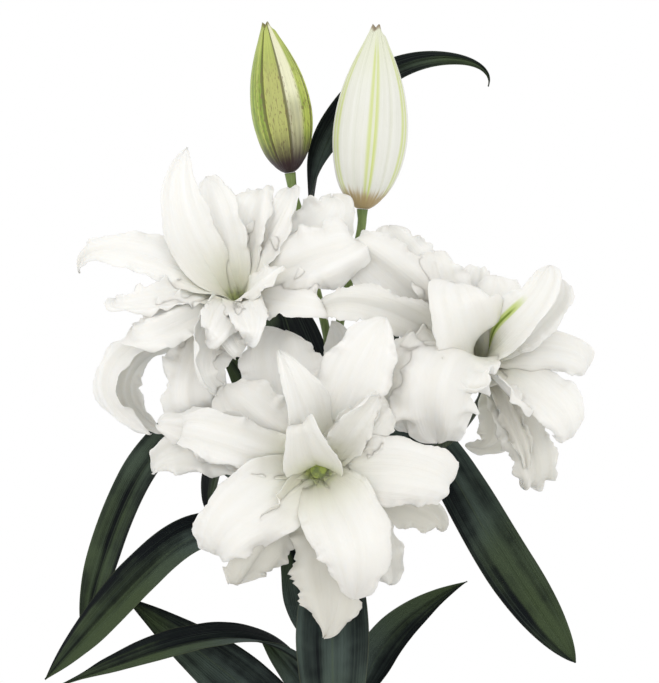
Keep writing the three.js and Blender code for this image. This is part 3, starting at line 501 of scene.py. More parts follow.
rightPetals = [
    row((0, -6, 41), (3, 6, 72), 24, 41, curl=60, face=(0, -1, 0)),
    row((-33, -14, 50), (-55, -2, 90), 44, 42, point=0.5, ruffle=4, frill=2.8, fold=2.4, jag=1.8,
        face=(0.1, -0.95, 0.2)),
    row((-20, -22, 44), (-27, -10, 74), 38, 43, point=0.5, ruffle=4, frill=2.8),
    row((15, 0, -30), (-7, 10, -46), 32, 44, face=(-0.2, 0.5, 0.8), start=(0.5, -0.5, -0.3), under=1),
    row((37, -30, 15), (65, -16, -1), 34, 45, point=0.5, ruffle=1.5, frill=0.5, roll=0.8,
        face=(-0.1, -0.95, 0.2)),
    row((25, -26, -32), (26, -16, -74), 34, 46, curl=50, frill=3.6, fold=2.6, jag=2, face=(0.3, -0.9, 0.1),
        shaded=0.7),
    row((35, -36, -10), (51, -22, -43), 34, 47, point=0.7, face=(0.2, -0.9, 0.2)),
    row((17, -30, -22), (27, -30, -61), 16, 55, cup=(1, 0.8, 0.6), frill=2.6, fold=2, face=(0.3, -0.9, 0.1),
        shaded=0.8),
    row((13, -42, -7), (30, -42, -22), 22, 64, fold=2, face=(0, 0.6, 0.8)),
    row((9, -20, 32), (12, -8, 59), 38, 48, point=0.45, face=(0, -0.95, 0.1), green=0.9),
    row((-47, -30, 53), (-78, -14, 70), 48, 49, point=0.5, ruffle=4, frill=3, fold=2.6, jag=1.6),
    row((-50, -50, 35), (-97, -46, 37), 28, 50, point=0.5, frill=2.6, jag=2.2, shaded=0.35),
    row((21, -44, 29), (43, -36, 65), 38, 51, foot=0.7, cup=(1.1, 0.9, 0.7), ruffle=1.2, frill=0.6,
        face=(-0.6, -0.8, 0.2), claw=0.7, green=0.9, stripe=1),
    row((28, -36, 27), (49, -32, 57), 28, 59, point=0.6, face=(-0.3, -0.9, 0.1)),
    row((-7, -48, 26), (-15, -44, 54), 58, 52, foot=0.85, point=0.42, cup=(0.8, 0.4, 0.3), ruffle=1,
        frill=0.6, face=(0.2, -0.95, 0.2), claw=0.8, green=0.6),
    row((-20, -62, 8), (-26, -53, -42), 60, 53, wide=0.5, point=0.42, ruffle=4, frill=6.9, fold=4.8, jag=2,
        face=(-0.1, -0.95, 0.1)),
    row((-34, -53, 14), (-44, -48, -36), 36, 54, point=0.6, ruffle=4, frill=5.2, fold=4.2, jag=1.6,
        face=(-0.3, -0.9, 0.1), shaded=0.3),
]
# a bloom's shaded share is painted shade over all its petals
blooms = {
    "bloom_front": {
        "petals": frontPetals, "base": (-10, -58, 364), "axis": (-0.03, -0.97, 0.1), "spread": 0.9,
        "shape": {"foot": 0.62, "claw": 0.7, "green": 0.8, "shaded": 0.12}},
    "bloom_left": {
        "petals": leftPetals, "base": (-59, -4, 465), "axis": (-0.22, -0.66, 0.7), "spread": 0.2,
        "shape": {"foot": 0.55, "claw": 0.55, "green": 0.6}},
    "bloom_right": {
        "petals": rightPetals, "base": (88, -4, 423), "axis": (-0.13, -0.55, 0.83), "spread": 0.2,
        "shape": {"foot": 0.5, "claw": 0.5, "green": 0.5, "shaded": 0.12, "face": (0, -0.95, 0.2)}},
}


def petalShell(bloom, petal):
    # a petal grows from the receptacle's ring, away from the bloom's axis
    axis, base = unit(floats(bloom["axis"])), floats(bloom["base"])
    via, tip = base + petal["via"], base + petal["tip"]
    out = via - base
    out = unit(out - (out @ axis) * axis)
    chord = chordOf(base, via, tip)
    blade = {**petalShape, "speed": petalShape["speedShare"] * chord, "inner": -out,
             "start": axis + bloom["spread"] * out, **bloom["shape"], **petal,
             "base": base + petalShape["clear"] * out, "via": via, "tip": tip}
    rows, columns = next(grid[1:] for grid in petalGrids if chord > grid[0])
    return bladeShell(blade, rows, columns)


def roundedProfile(pairs, perSpan):
    # cubic through a profile's corners, kept on its own side of the axis
    line = smoothLine([(r, 0, z) for r, z in pairs], perSpan)[:, [0, 2]]
    return np.stack([np.maximum(line[:, 0], 0), line[:, 1]], 1)


def bloomPiece(node, bloom, material):
    # all petals of a bloom and the receptacle that holds them, in one mesh
    shells = [petalShell(bloom, petal) for petal in bloom["petals"]]
    profile = roundedProfile(receptacle["profile"], receptacle["perSpan"])
    points, faces, _ = turnedShell(profile, receptacle["sides"])
    kept = np.where(points[:, 2:] > 0, receptacle["above"], receptacle["below"])
    shells.append(placedShell((points, faces, kept), bloom["base"], bloom["axis"]))
    pieceFrom(camel(node), shells, material, "petal", node)


def petalSkin():
    # white, mixed towards beige as painted shade on shaded petals and on petal backs, a green throat, and
    # on a striped petal a green line beside its middle; green, stripe and the painted shade share (back)
    # come from the petal's table
    material, start, place = newMaterial(
        "petalSkin", Subsurface_Weight=0.6, Subsurface_Radius=(0.8, 0.88, 1.0), Subsurface_Scale=0.002,
        Specular_IOR_Level=0.35)
    blade, u, t, _ = start.kept()
    _, green, stripe, back = start.kept("tint")
    veins = blade.stretch(11, 0.8, 1).noise(1.0, 3, 0.6)
    crease = blade.stretch(3.2, 1.4, 1).noise(1.0)
    pores = place.noise(900)
    crinkle = place.noise(160, 3, 0.55)
    face = crease.rise(0.3, 0.7).mix((0.83, 0.817, 0.77), (0.865, 0.857, 0.825))
    # painted shade: back is the petal's shaded share on its front and its under share on its back, mixing
    # the white towards beige
    white = (0.85 * back).mix(face, (0.58, 0.56, 0.49))
    glow = green * (1 - 0.5 * back) * t.rise(0.50, 0.06) * (0.2 + 0.8 * crease)
    pale = glow.mix(white, (0.78, 0.80, 0.52))
    deep = green * (1 - 0.7 * back) * (t + 0.08 * crease).rise(0.16, 0.07)
    flecks = place.noise(260).rise(0.4, 0.62)
    throat = deep.mix(pale, flecks.mix((0.42, 0.52, 0.05), (0.15, 0.21, 0.02)))
    beside = (u + 0.1 * crease + 0.4).size()
    middle = stripe * beside.rise(0.19, 0.09) * t.rise(0.72, 0.55)
    line = stripe * beside.rise(0.06, 0.02) * t.rise(0.6, 0.5)
    lined = line.mix(middle.mix(throat, (0.56, 0.64, 0.24)), (0.20, 0.29, 0.03))
    height = 0.0006 * veins + 0.0005 * crinkle * u.size() + 0.00006 * pores
    return feed(material, Base_Color=lined, Roughness=0.42 + 0.16 * veins, Normal=start.bump(height))


print("petals")
petalMaterial = petalSkin()
for node, bloom in blooms.items():
    bloomPiece(node, bloom, petalMaterial)


# swell: the stalk's radius along it, as shares
stem = {"radius": 4.0, "sides": 24, "low": 94.3, "top": 400, "stalk": 2.7, "stalkSides": 18,
        "swell": (1, 1, 1, 1, 1, 1, 1, 1.05, 1.3), "straight": 14, "below": 0.3}
stalks = {
    "bloom_front": ((0, 0, 378), (-3, -6, 375)),
    "bloom_left": ((0, 0, 395), (-14, 3, 420), (-36, 12, 431)),
    "bloom_right": ((0, 0, 372), (34, 5, 371), (68, 10, 378)),
    "bud_green": ((0, 0, 396), (-4, 4, 440), (-13, 7, 480), (-22, 9, 520)),
    "bud_white": ((0, 0, 396), (1, -1, 440), (8, -1, 475)),
}
# seams: the angle and depth in mm of each groove along the bud
buds = {
    "bud_green": {"foot": (-28, 8, 547), "tip": (-43, 0, 640), "width": 38,
                  "seams": [(242, 0.9), *((angle, 0.7) for angle in (284, 344, 44, 104, 164))]},
    "bud_white": {"foot": (17, -2, 524), "tip": (26, -4, 638), "width": 47,
                  "seams": [(angle, 0.5) for angle in (248, 308, 8, 68, 128, 188)]},
}


def stalkShell(name):
    # through the stalk's points to a straight end just below what it carries,
    # where it swells a little
    if name in buds:
        end = floats(buds[name]["foot"])
        axis = unit(buds[name]["tip"] - end)
        low = 0
    else:
        end, low = floats(blooms[name]["base"]), receptacle["profile"][0][1]
        axis = unit(floats(blooms[name]["axis"]))
    end = end + (low - stem["below"]) * axis
    line = smoothLine([*stalks[name], end - stem["straight"] * axis, end], 10)
    return tubeShell(line, stem["stalk"] * floats(stem["swell"]), stem["stalkSides"])


def stalkSkin():
    # streaked green, painted darker below about 0.4 m as painted shade under the blooms and leaves, and
    # lighter green in patches towards the buds
    material, start, place = newMaterial("stalkSkin", Specular_IOR_Level=0.45)
    streaks = place.stretch(900, 900, 30).noise(1.0, 3, 0.6)
    patches = place.noise(60, 3, 0.6)
    upperGreen = patches.rise(0.3, 0.7).mix((0.11, 0.17, 0.04), (0.19, 0.26, 0.07))
    upperGreen = (0.6 * streaks.rise(0.45, 0.7)).mix(upperGreen, (0.22, 0.30, 0.10))
    shadedLower = streaks.rise(0.4, 0.7).mix((0.020, 0.030, 0.016), (0.055, 0.075, 0.034))
    height = place.parts()[2]
    # painted shade: the stem below 0.40 m takes the darker green
    colour = height.rise(0.40, 0.48).mix(shadedLower, upperGreen)
    return feed(material, Base_Color=colour, Roughness=0.38 + 0.2 * patches,
                Normal=start.bump(0.0004 * streaks + 0.0004 * patches, 0.6))


print("stem")
stemLine = smoothLine([(0, 0, height) for height in (stem["low"], 200, 300, stem["top"])], 16)
stemShells = [tubeShell(stemLine, (stem["radius"],), stem["sides"]), *map(stalkShell, stalks)]
pieceFrom("stemAndStalks", stemShells, stalkSkin(), "stalk", "stem")


# profile: share of the length and of half the width; lobe, cleft and notch are
# shares too, and groove, lip and lipAt are degrees round the bud
budForm = {
    "profile": [(0, 0.16), (0.02, 0.34), (0.08, 0.62), (0.2, 0.87), (0.36, 1),
                (0.5, 0.97), (0.65, 0.83), (0.8, 0.56), (0.92, 0.27), (1, 0.12)],
    "lobe": 0.12, "cleft": 0.35, "notch": 0.022, "groove": 3.2, "lip": 4, "lipAt": 7,
    "rows": 110, "sides": 180,
}


def budShell(bud):
    # profile turned about the bud's axis, with three lobes, a groove with raised
    # lips at each seam, and a cleft tip; the skin keeps angle and share of length
    length = np.linalg.norm(np.subtract(bud["tip"], bud["foot"]))
    t = np.concatenate([[0], np.linspace(0, 1, budForm["rows"]), [1]])[:, None]
    angle = fullTurn(budForm["sides"])[None, :]
    r = bud["width"] / 2 * smoothTable(budForm["profile"], t, 0.06)
    r = r * (1 + budForm["lobe"] * (np.abs(np.cos(1.5 * angle)) - 0.6) * smoothStep(t, 0, 0.3))
    body = smoothStep(t, 0.02, 0.2) * (1 - 0.5 * smoothStep(t, 0.9, 1))
    for place, deep in bud["seams"]:
        away = np.degrees(np.arccos(np.cos(angle - np.radians(place))))
        lip = np.exp(-((away - budForm["lipAt"]) / budForm["lip"])**2)
        r = r - deep * np.exp(-(away / budForm["groove"])**2) * body + 0.4 * deep * lip * body
    cleft = smoothStep(t, 0.93, 1) * (1 + np.cos(3 * angle)) / 2
    r = r * (1 - budForm["cleft"] * cleft)
    r[[0, -1]] = 0
    shell = ringShell(r, angle, (t - budForm["notch"] * cleft) * length, t)
    return placedShell(shell, bud["foot"], np.subtract(bud["tip"], bud["foot"]))


def budSkin(name, skin, bud):
    # two greens in patches, fine streaks along the bud, ribs as pairs of lines,
    # freckles beside a seam and a dark foot
    material, start, place = newMaterial(name, Specular_IOR_Level=0.45)
    kept, cosine, sine, t = start.kept()
    streaks = kept.stretch(9, 9, 0.8).noise(1.0, 3, 0.6)
    patches = place.noise(38, 3, 0.6)

    def beside(degrees):
        # 1 along the line at this angle, less the further round from it
        angle = math.radians(degrees)
        return cosine * math.cos(angle) + sine * math.sin(angle)

    def laid(under, name, mask):
        # one of the skin's colours over another, by its share and a mask
        colour, share = skin[name]
        return (share * mask).mix(under, colour)

    shade = (0.4 * patches + 0.8 * streaks).rise(0.4, 0.75).mix(skin["body"], skin["light"])
    shade = laid(shade, "tip", t.rise(0.55, 1.0))
    if "cream" in skin:
        side, level = skin["side"], t + 0.1 * patches
        shade = laid(shade, "dusk", beside(side - 33).rise(0.90, 0.97) * (t + 0.2 * streaks).rise(1.0, 0.7))
        # the cream flank at side is partly the bud's own colour and partly a painted highlight; beige-grey
        # below it
        flank = beside(side).rise(0.93, 0.98)
        shade = laid(shade, "cream", flank * level.rise(0.35, 0.6))
        shade = laid(shade, "ash", flank * level.rise(0.6, 0.4))
    for degrees in skin.get("ribs", ()):
        near = beside(degrees)
        pair = near.rise(0.984, 0.9968) - 0.7 * near.rise(0.9985, 0.9998)
        shade = laid(shade, "rib", (0.5 + streaks) * pair * t.rise(0.98, 0.8))
    if "spot" in skin:
        spots = kept.stretch(26, 26, 26).noise(1.0).rise(0.56, 0.64) * t.rise(0.85, 0.6)
    for degrees, _ in bud["seams"]:
        shade = laid(shade, "seam", beside(degrees).rise(0.9975, 0.9995))
        if "spot" in skin:
            shade = laid(shade, "spot", beside(degrees - 10).rise(0.90, 0.97) * spots)
    foot = (t + 0.12 * streaks + 0.1 * patches).rise(skin["footTop"] + 0.11, 0.16)
    shade = foot.mix(shade, skin["foot"])
    end = (0.8 * (t + 0.02 * streaks).rise(0.975, 1.0)).mix(shade, skin["end"])
    return feed(material, Base_Color=end, Roughness=0.34 + 0.2 * streaks,
                Normal=start.bump(0.0008 * streaks + 0.0004 * patches, 0.7))


greenSkin = {
    "body": (0.15, 0.25, 0.02), "light": (0.50, 0.57, 0.12), "tip": ((0.42, 0.47, 0.13), 0.6), "side": 300,
    "cream": ((0.82, 0.80, 0.58), 0.9), "dusk": ((0.46, 0.46, 0.15), 0.8),
    "ash": ((0.50, 0.46, 0.34), 0.72), "seam": ((0.12, 0.12, 0.03), 0.85),
    "spot": ((0.17, 0.12, 0.05), 0.75), "foot": (0.028, 0.011, 0.013), "footTop": 0.33,
    "end": (0.20, 0.17, 0.06),
}
whiteSkin = {
    "body": (0.72, 0.72, 0.64), "light": (0.76, 0.76, 0.70), "tip": ((0.70, 0.73, 0.50), 0.6),
    "ribs": (213, 276, 337, 36, 96, 156), "rib": ((0.58, 0.65, 0.22), 0.85),
    "seam": ((0.62, 0.64, 0.50), 0.25), "foot": (0.44, 0.33, 0.16), "footTop": 0.12,
    "end": (0.22, 0.14, 0.07),
}

print("buds")
for node, skin in (("bud_green", greenSkin), ("bud_white", whiteSkin)):
    material = budSkin(camel(node) + "Skin", skin, buds[node])
    pieceFrom(camel(node), [budShell(buds[node])], material, node + "_skin", node)


def arched(at, turn, reach, rise, climb, width, seed):
    # a leaf that starts at a height on the stem, leaves it in the direction turn,
    # arches up by rise and ends reach mm out and climb mm above its start
    angle = math.radians(turn)
    out, foot = np.array([math.cos(angle), math.sin(angle), 0]), np.array([0, 0, at])
    return row(foot + 0.55 * reach * out + (0, 0, rise), foot + reach * out + (0, 0, climb), width, seed,
               at=at, start=out + (0, 0, 0.9), face=(0, 0, 1))


# shaded: painted shade on one half of a leaf, on the other half where negative; under: the same on its
# underside
leafShape = {
    **petalShape, "inner": (0, 0, 1), "cup": (0.9, 0.6, 0.5), "ruffle": 2.0, "waves": 1.21, "rib": 1.0,
    "wide": 0.45, "foot": 0.3, "taper": 1.6, "point": 1.0, "claw": 0.25, "keel": 0.8, "roll": 0.0,
    "frill": 0.25, "fold": 0.5, "jag": 0.0, "thick": 0.9, "clear": 0.8, "shaded": 0.3, "under": 0.2,
    "face": (0, -0.9, 0.2), "rows": 90, "columns": 22,
}
# shaded: painted shade on one half of each leaf, on the other half where negative
leaves = {
    "leaf_front": row((-1, -42, 291), (1, -60, 169), 47, 6, at=282, start=(0, -1, 0.9), where=0.35,
        face=(0, -0.9, 0.3), shaded=-0.3),
    "leaf_left_top": row((-34, 10, 380), (-156, 0, 259), 27, 2, at=362, start=(-0.8, 0.1, 0.5), speed=159,
        where=0.2, wide=0.6, foot=0.4, taper=3, point=0.8, face=(-0.3, -0.8, 0.3), shaded=-0.2),
    "leaf_left_middle": row((-131, -30, 285), (-175, -55, 238), 29, 3, at=306, start=(-0.8, -0.1, 0.3),
        speed=286, where=0.8, wide=0.6, taper=2.4, face=(0.1, -0.7, 0.6), shaded=1.0),
    "leaf_left_low": row((-100, -50, 257), (-167, -80, 236), 26, 5, at=217, start=(-0.4, -0.3, 1),
        speed=252, where=0.63, face=(0.1, -0.5, 0.8), shaded=0.9),
    "leaf_left_back": row((-63, 30, 229), (-133, 35, 281), 40, 4, at=173, start=(-0.6, 0.3, 0.8),
        face=(-0.1, -0.9, 0.3), shaded=0.5),
    "leaf_left_small": row((-30, 25, 238), (-49, 30, 260), 18, 13, at=203, start=(-0.5, 0.4, 1)),
    "leaf_left_inner": row((-19, 30, 292), (-46, 35, 329), 34, 12, at=231, start=(-0.4, 0.3, 1)),
    "leaf_right_low": row((43, 8, 266), (82, 0, 293), 27, 7, at=182, start=(0.8, -0.2, 0.6), speed=50,
        where=0.8, face=(-0.2, -0.9, 0.4), shaded=0.6),
    "leaf_right_top": row((65, 24, 372), (148, -15, 244), 34, 8, at=346, start=(0.85, 0.45, 0.9), speed=334,
        wide=0.68, foot=0.4, taper=2.6, point=0.8, face=(-0.1, -0.8, 0.5), shaded=0.6),
    "leaf_behind_left": row((-51, 45, 367), (-79, 55, 332), 46, 9, at=331, start=(-0.9, 0.4, 0.5),
        point=0.6, face=(0, -0.9, 0.3), shaded=0.7),
    "leaf_behind_ring": row((-43, 38, 400), (-76, 40, 442), 34, 14, at=352, start=(-0.7, 0.5, 0.6),
        shaded=0.6),
    "leaf_behind_middle": row((-27, 48, 442), (-47, 60, 470), 42, 10, at=384, start=(-0.7, 0.7, 0.6),
        point=0.7, shaded=0.7),
    "leaf_behind_right": row((27, 46, 440), (44, 68, 462), 34, 11, at=380, start=(0.8, 0.6, 0.6)),
    "leaf_back_1": arched(214, 92, 108, 38, -4, 30, 31),
    "leaf_back_2": arched(290, 84, 112, 44, 15, 32, 32),
    "leaf_back_3": arched(322, 112, 108, 46, 28, 32, 33),
    "leaf_back_4": arched(348, 62, 104, 48, 32, 30, 34),
    "leaf_low_1": arched(146, 203, 128, 34, 22, 28, 35),
    "leaf_low_2": arched(152, 335, 124, 36, 24, 29, 36),
    "leaf_low_3": arched(158, 105, 120, 38, 20, 30, 37),
    "leaf_low_4": arched(164, 248, 118, 34, 8, 28, 38),
    "leaf_low_5": arched(170, 38, 126, 30, 4, 30, 39),
    "leaf_low_6": arched(180, 306, 122, 28, -4, 29, 40),
    "leaf_top": row((20, 36, 602), (97, 40, 603), 21, 1, base=(-16.2, 10.8, 505), start=(0, 0.2, 1),
        speed=418, where=0.36, taper=1.3, inner=(-1, 0.2, 0), face=(0.3, -0.9, 0.2), shaded=-0.4),
}


def leafShell(leaf):
    # a leaf's foot lies just outside the stem, on the side that it leaves from
    blade = {**leafShape, **leaf}
    via, tip, start = (floats(blade[key]) for key in ("via", "tip", "start"))
    if "at" in leaf:
        foot = stem["radius"] + leafShape["clear"]
        blade["base"] = np.array([0, 0, leaf["at"]]) + unit(start * (1, 1, 0)) * foot
    blade.setdefault("speed", leafShape["speedShare"] * chordOf(blade["base"], via, tip))
    return bladeShell(blade, leafShape["rows"], leafShape["columns"])


def leafSkin():
    # a painted sheen in grey-green near the foot, fading to olive towards the tip, painted light and shade
    # in bands along the leaf, painted shade on one half, fine veins and a midrib
    material, start, place = newMaterial("leafSkin", Specular_IOR_Level=0.09)
    blade, u, t, _ = start.kept()
    shaded = start.kept("tint")[3]
    veins = blade.stretch(16, 0.5, 1).noise(1.0, 2, 0.4)
    patches = place.noise(28, 3, 0.6)
    furrow = (u * 75 + 2 * patches).wave()
    bands = blade.stretch(1.6, 0.8, 1).noise(1.0)
    broad = place.noise(11)
    # painted sheen: grey-green near the foot, olive towards the tip
    light = (t + 0.8 * broad).rise(0.75, 1.25).mix((0.066, 0.090, 0.080), (0.050, 0.072, 0.033))
    # painted light and shade: lit is the share of the sheen colour over near-black, in bands along the
    # leaf, with one half darker by shaded
    lit = (0.35 * patches + 0.65 * bands - 0.2 * shaded * u).rise(0.37, 0.60)
    dark = lit.mix((0.003, 0.005, 0.006), light)
    lined = (0.22 * veins.rise(0.5, 0.72)).mix(dark, (0.070, 0.098, 0.072))
    rib = (0.35 * u.size().rise(0.05, 0.01)).mix(lined, (0.08, 0.11, 0.06))
    worn = (0.4 * u.size().rise(0.96, 1.0)).mix(rib, (0.10, 0.11, 0.06))
    return feed(material, Base_Color=worn, Roughness=0.40 + 0.25 * patches,
                Normal=start.bump(0.0007 * veins + 0.0001 * furrow, 0.7))


print("leaves")
leafMaterial = leafSkin()
for node, leaf in leaves.items():
    pieceFrom(camel(node), [leafShell(leaf)], leafMaterial, "leaf", node)


pot = {"height": 150, "foot": 62, "rim": 88, "wall": 7, "floor": 9, "band": 26, "step": 4, "edge": 2,
       "round": 0.6, "drain": 6, "drains": 4, "ring": 34, "sides": 160}
soil = {"top": 132, "mound": 3, "stemHole": 4.5, "hollow": 1.5, "gap": 0.3, "sides": 240}
bulb = {"foot": 44, "height": 50, "radius": 23, "scales": 7, "depth": 0.09, "sides": 140}
bulbShape = [(0, 0), (0.42, 0), (0.75, 0.12), (1, 0.38), (0.93, 0.6), (0.66, 0.82), (0.3, 0.97), (0.24, 1)]


def potRadius(z):
    # outer radius of the wall at a height, without the rim band
    return pot["foot"] + (pot["rim"] - pot["step"] - pot["foot"]) / pot["height"] * z


def potProfile():
    # outside from the middle of the underside up, and down inside to the floor
    h, e, soft, low, foot, rim = (pot[key] for key in ("height", "edge", "round", "floor", "foot", "rim"))
    band = h - pot["band"]
    side, inside, lowInside = potRadius(band), potRadius(h) - pot["wall"], potRadius(low) - pot["wall"]
    return [
        (0, 0), (foot - e, 0), (foot - soft, soft), (foot, e), (side, band), (side + 2.6, band + 0.4),
        (side + 3.7, band + 1.4), (rim, h - e), (rim - soft, h - soft), (rim - e, h), (inside + e, h),
        (inside + soft, h - soft), (inside, h - e), (lowInside + 0.1, low + 2), (lowInside - 2, low),
        (0, low),
    ]


def thrown(r, z, angle):
    # faint throwing lines: sums of slow waves up the wall
    lines = 0.12 * np.sin(1.9 * z + 0.6 * np.sin(angle)) + 0.08 * np.sin(0.83 * z + 2 * angle)
    return r - (0.25 + lines) * smoothStep(r, 50, 60), z


def drainShells():
    # upright rods through the floor, to be cut out of it
    rod = turnedShell([(0, -5), (pot["drain"], -5), (pot["drain"], 20), (0, 20)], 32)
    for k in range(pot["drains"]):
        angle = math.radians(45 + 360 / pot["drains"] * k)
        yield rod[0] + pot["ring"] * np.array([math.cos(angle), math.sin(angle), 0]), rod[1], rod[2]


def potPiece():
    # the turned wall with its drain holes cut, as a plain mesh again
    wall = turnedShell(finerProfile(potProfile(), 2.5), pot["sides"], thrown)
    cutter = addObject("drains", meshFrom("drains", list(drainShells())))
    body = addObject("body", meshFrom("body", [wall]))
    cut = body.modifiers.new("holes", "BOOLEAN")
    cut.operation, cut.solver, cut.object = "DIFFERENCE", "EXACT", cutter
    mesh = bpy.data.meshes.new_from_object(body.evaluated_get(bpy.context.evaluated_depsgraph_get()))
    mesh.name = "clayPot"
    for thing in (cutter, body):
        bpy.data.meshes.remove(thing.data)
    mesh.materials.clear()
    mesh.materials.append(claySkin())
    piece = addObject("clayPot", mesh)
    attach(piece, "root")
    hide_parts("pot")


def claySkin():
    # two clay colours in clouds, pale grains and a little lime bloom
    material, start, place = newMaterial("claySkin", Specular_IOR_Level=0.25)
    clouds = place.noise(14, 4, 0.6)
    grain = place.noise(600, 3, 0.6)
    lines = place.stretch(3, 3, 700).noise(1.0)
    body = clouds.rise(0.3, 0.7).mix((0.40, 0.155, 0.075), (0.52, 0.225, 0.115))
    speckled = (0.5 * grain.rise(0.5, 0.75)).mix(body, (0.62, 0.34, 0.20))
    lime = (0.5 * place.noise(24, 5, 0.7).rise(0.56, 0.72)).mix(speckled, (0.70, 0.58, 0.47))
    return feed(material, Base_Color=lime, Roughness=0.72 + 0.2 * clouds,
                Normal=start.bump(0.0004 * lines + 0.0003 * grain + 0.0005 * clouds, 0.7))


def insideRadius(z):
    # radius of the soil at a height, a gap clear of the wall
    return potRadius(z) - pot["wall"] - soil["gap"]


def soilRelief(x, y):
    # small hollows and lumps: sums of short waves
    rough = np.sin(0.9 * x + 1.3 * np.sin(0.7 * y)) * np.sin(1.1 * y + 1.7 * np.sin(0.5 * x))
    fine = np.sin(2.1 * x + 2 * np.sin(1.3 * y)) * np.sin(1.9 * y + 1.2 * np.sin(1.7 * x))
    return 0.9 * rough + 0.55 * fine - 1.5


def moundHeight(r):
    # the soil's height from the stem out to the wall
    top = insideRadius(soil["top"])
    return soil["top"] + soil["mound"] * np.interp(r / top, (0.25, 0.55, 1), (1, 0.4, 0))


def soilShell():
    # fills the pot; its top is uneven, and it keeps the bulb's hollow open
    low, top, hollow, hole = pot["floor"] + soil["gap"], soil["top"], soil["hollow"], soil["stemHole"]
    wide, under = insideRadius(top), bulb["foot"] - soil["gap"]
    side = [(bulb["radius"] * r + hollow, bulb["foot"] + bulb["height"] * z) for r, z in bulbShape[2:]]
    profile = [
        (0, low), (insideRadius(low), low), (insideRadius(top - 2) - 0.3, top - 2), (wide - 1.5, top),
        (0.55 * wide, moundHeight(0.55 * wide)), (0.25 * wide, top + soil["mound"]),
        (hole, top + soil["mound"]), (hole, bulb["foot"] + bulb["height"] + hollow),
        *side[::-1], (bulb["radius"] * bulbShape[1][0] + hollow, under), (0, under),
    ]

    def crumbly(r, z, angle):
        up = smoothStep(z, top - 0.5, top) * smoothStep(r, 4.6, 8)
        return r, z + soilRelief(r * np.cos(angle), r * np.sin(angle)) * up
    return turnedShell(finerProfile(profile, 1.5), soil["sides"], crumbly)


def crumbShell(crumbs):
    # lumps and pale grains lying on the soil: one ball of 12 points, each copy
    # stretched and turned at random
    rng = np.random.default_rng(crumbs["seed"])
    g = (1 + 5**0.5) / 2
    flat = np.array([(x, y, 0) for y in (g, -g) for x in (-1, 1)])
    ball = np.concatenate([np.roll(flat, k, 1) for k in range(3)]) / 1.9
    faces = np.array([
        (0, 11, 5), (0, 5, 1), (0, 1, 7), (0, 7, 10), (0, 10, 11), (1, 5, 9), (5, 11, 4), (11, 10, 2),
        (10, 7, 6), (7, 1, 8), (3, 9, 4), (3, 4, 2), (3, 2, 6), (3, 6, 8), (3, 8, 9), (4, 9, 5),
        (2, 4, 11), (6, 2, 10), (8, 6, 7), (9, 8, 1)])
    count = crumbs["count"]
    r = insideRadius(soil["top"]) * np.sqrt(rng.uniform(0.01, 0.92, count))
    angle = rng.uniform(0, 2 * np.pi, count)
    pale = (rng.uniform(size=count) < crumbs["pale"]).astype(float)
    size = rng.uniform(*crumbs["size"], count) * (1 - 0.35 * pale)
    turn, _ = np.linalg.qr(rng.normal(size=(count, 3, 3)))
    turn = turn * np.linalg.det(turn)[:, None, None]
    lumps = ball * rng.uniform(0.7, 1.3, (count, 12, 1)) * rng.uniform(0.6, 1.1, (count, 1, 3))
    lumps = np.einsum("kpi,kij->kpj", lumps * size[:, None, None], turn)
    x, y = r * np.cos(angle), r * np.sin(angle)
    height = moundHeight(r) + soilRelief(x, y) + 0.25 * size
    points = (lumps + np.stack([x, y, height], -1)[:, None]).reshape(-1, 3)
    faces = (faces[None] + 12 * np.arange(count)[:, None, None]).reshape(-1, 3)
    kept = np.repeat(np.stack([rng.uniform(size=count), pale, np.ones(count)], -1), 12, 0)
    return points, np.hstack([faces, -np.ones((len(faces), 1), int)]), kept


def soilSkin():
    # dark crumbs of three browns and pale grains
    material, start, place = newMaterial("soilSkin", Specular_IOR_Level=0.3)
    _, shade, pale, loose = start.kept()
    grit = place.noise(260, 4, 0.7)
    patches = place.noise(45, 3, 0.6)
    body = (grit.rise(0.35, 0.7) * 0.7 + 0.3 * patches).mix((0.012, 0.008, 0.005), (0.060, 0.038, 0.024))
    lumps = (loose * shade).mix(body, (0.075, 0.050, 0.032))
    grains = (pale * loose).mix(lumps, (0.58, 0.56, 0.50))
    return feed(material, Base_Color=grains, Roughness=0.85 + 0.1 * patches,
                Normal=start.bump(0.0012 * grit + 0.0008 * patches, 0.9))


def bulbShell():
    # overlapping scales as waves round the outline, each with a raised edge
    foot, top = bulb["foot"], bulb["foot"] + bulb["height"]
    profile = [(bulb["radius"] * r, foot + bulb["height"] * z) for r, z in bulbShape]
    profile = [(0, foot), *roundedProfile(profile[1:], 8), (0, top)]

    def scales(r, z, angle):
        level = (z - foot) / bulb["height"]
        free = smoothStep(level, 0, 0.2) * (1 - smoothStep(level, 0.8, 1))
        away = np.abs(np.cos(bulb["scales"] / 2 * angle + 5 * level))
        return r * (0.985 - bulb["depth"] * (1 - away) * free), z
    return turnedShell(profile, bulb["sides"], scales)


def bulbSkin():
    # pale scales, browner in streaks and patches
    material, start, place = newMaterial("bulbSkin", Specular_IOR_Level=0.4)
    streaks = place.stretch(300, 300, 30).noise(1.0, 3, 0.6)
    patches = place.noise(60, 3, 0.6)
    body = streaks.rise(0.3, 0.7).mix((0.62, 0.52, 0.33), (0.78, 0.70, 0.52))
    worn = (0.6 * patches.rise(0.5, 0.75)).mix(body, (0.42, 0.26, 0.13))
    return feed(material, Base_Color=worn, Roughness=0.4 + 0.2 * patches,
                Normal=start.bump(0.0006 * streaks + 0.0004 * patches, 0.7))


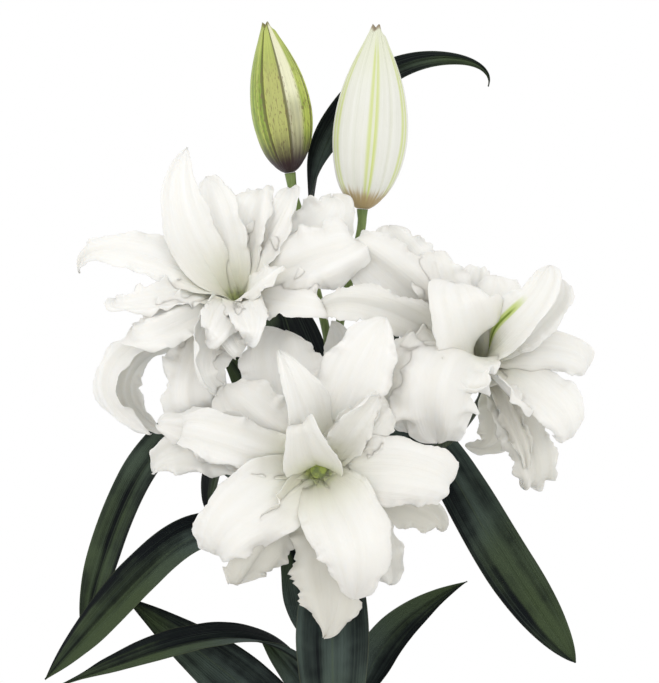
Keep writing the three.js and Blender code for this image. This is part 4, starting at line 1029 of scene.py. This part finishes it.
print("pot, soil and bulb")
crumbs = {"count": 560, "pale": 0.22, "size": (0.8, 2.4), "seed": 11}
potPiece()
pieceFrom("pottingSoil", [soilShell(), crumbShell(crumbs)], soilSkin(), "soil", "soil")
pieceFrom("lilyBulb", [bulbShell()], bulbSkin(), "bulb_skin", "bulb")


# lights: place and size in metres, power in watts; the camera's picture is
# rows pixels high, each of them pixel mm at the lily
stage = {
    "radius": 1150, "deep": 12, "edge": 2, "sides": 96, "sky": 1.0, "aim": (0, 0, 0.42),
    "lights": {"key": ((-1.3, -1.5, 2.1), 0.7, 5.5), "fill": ((1.8, -1.2, 0.9), 1.4, 3),
               "front": ((-0.2, -2.3, 0.8), 0.9, 4.5)},
    "eye": (-0.00341, -2.0, 0.44173), "away": 2000, "rows": 683, "pixel": 0.62, "sensor": 36,
}


def stageFloor():
    # a round pale floor under the pot
    wide, deep, e, top = stage["radius"], stage["deep"], stage["edge"], -0.05
    profile = [(0, -deep), (wide - e, -deep), (wide, e - deep), (wide, -e), (wide - e, top), (0, top)]
    disc = turnedShell(profile, stage["sides"])
    material, _, place = newMaterial("floorPaint", Roughness=0.6, Specular_IOR_Level=0.3)
    feed(material, Base_Color=place.noise(3).mix((0.86, 0.86, 0.85), (0.90, 0.90, 0.89)))
    mesh = meshFrom("floor", [disc])
    mesh.materials.append(material)
    addObject("floor", mesh)


print("stage, lights and camera")
stageFloor()
for name, (place, size, power) in stage["lights"].items():
    light = bpy.data.lights.new(name, "AREA")
    light.size, light.energy = size, power
    lamp = addObject(name, light)
    lamp.location = place
    lamp.rotation_euler = (Vector(stage["aim"]) - Vector(place)).to_track_quat("-Z", "Y").to_euler()
world = bpy.data.worlds.new("studio")
world.use_nodes = True
sky = world.node_tree.nodes["Background"].inputs
sky["Color"].default_value, sky["Strength"].default_value = (1, 1, 1, 1), stage["sky"]
bpy.context.scene.world = world
bpy.context.scene.view_settings.view_transform = "Standard"

camera = bpy.data.cameras.new("camera")
camera.sensor_width, camera.clip_end = stage["sensor"], 10
camera.lens = stage["sensor"] * stage["away"] / (stage["rows"] * stage["pixel"])
view = addObject("camera", camera)
view.location, view.rotation_euler = stage["eye"], (math.pi / 2, 0, 0)
bpy.context.scene.camera = view
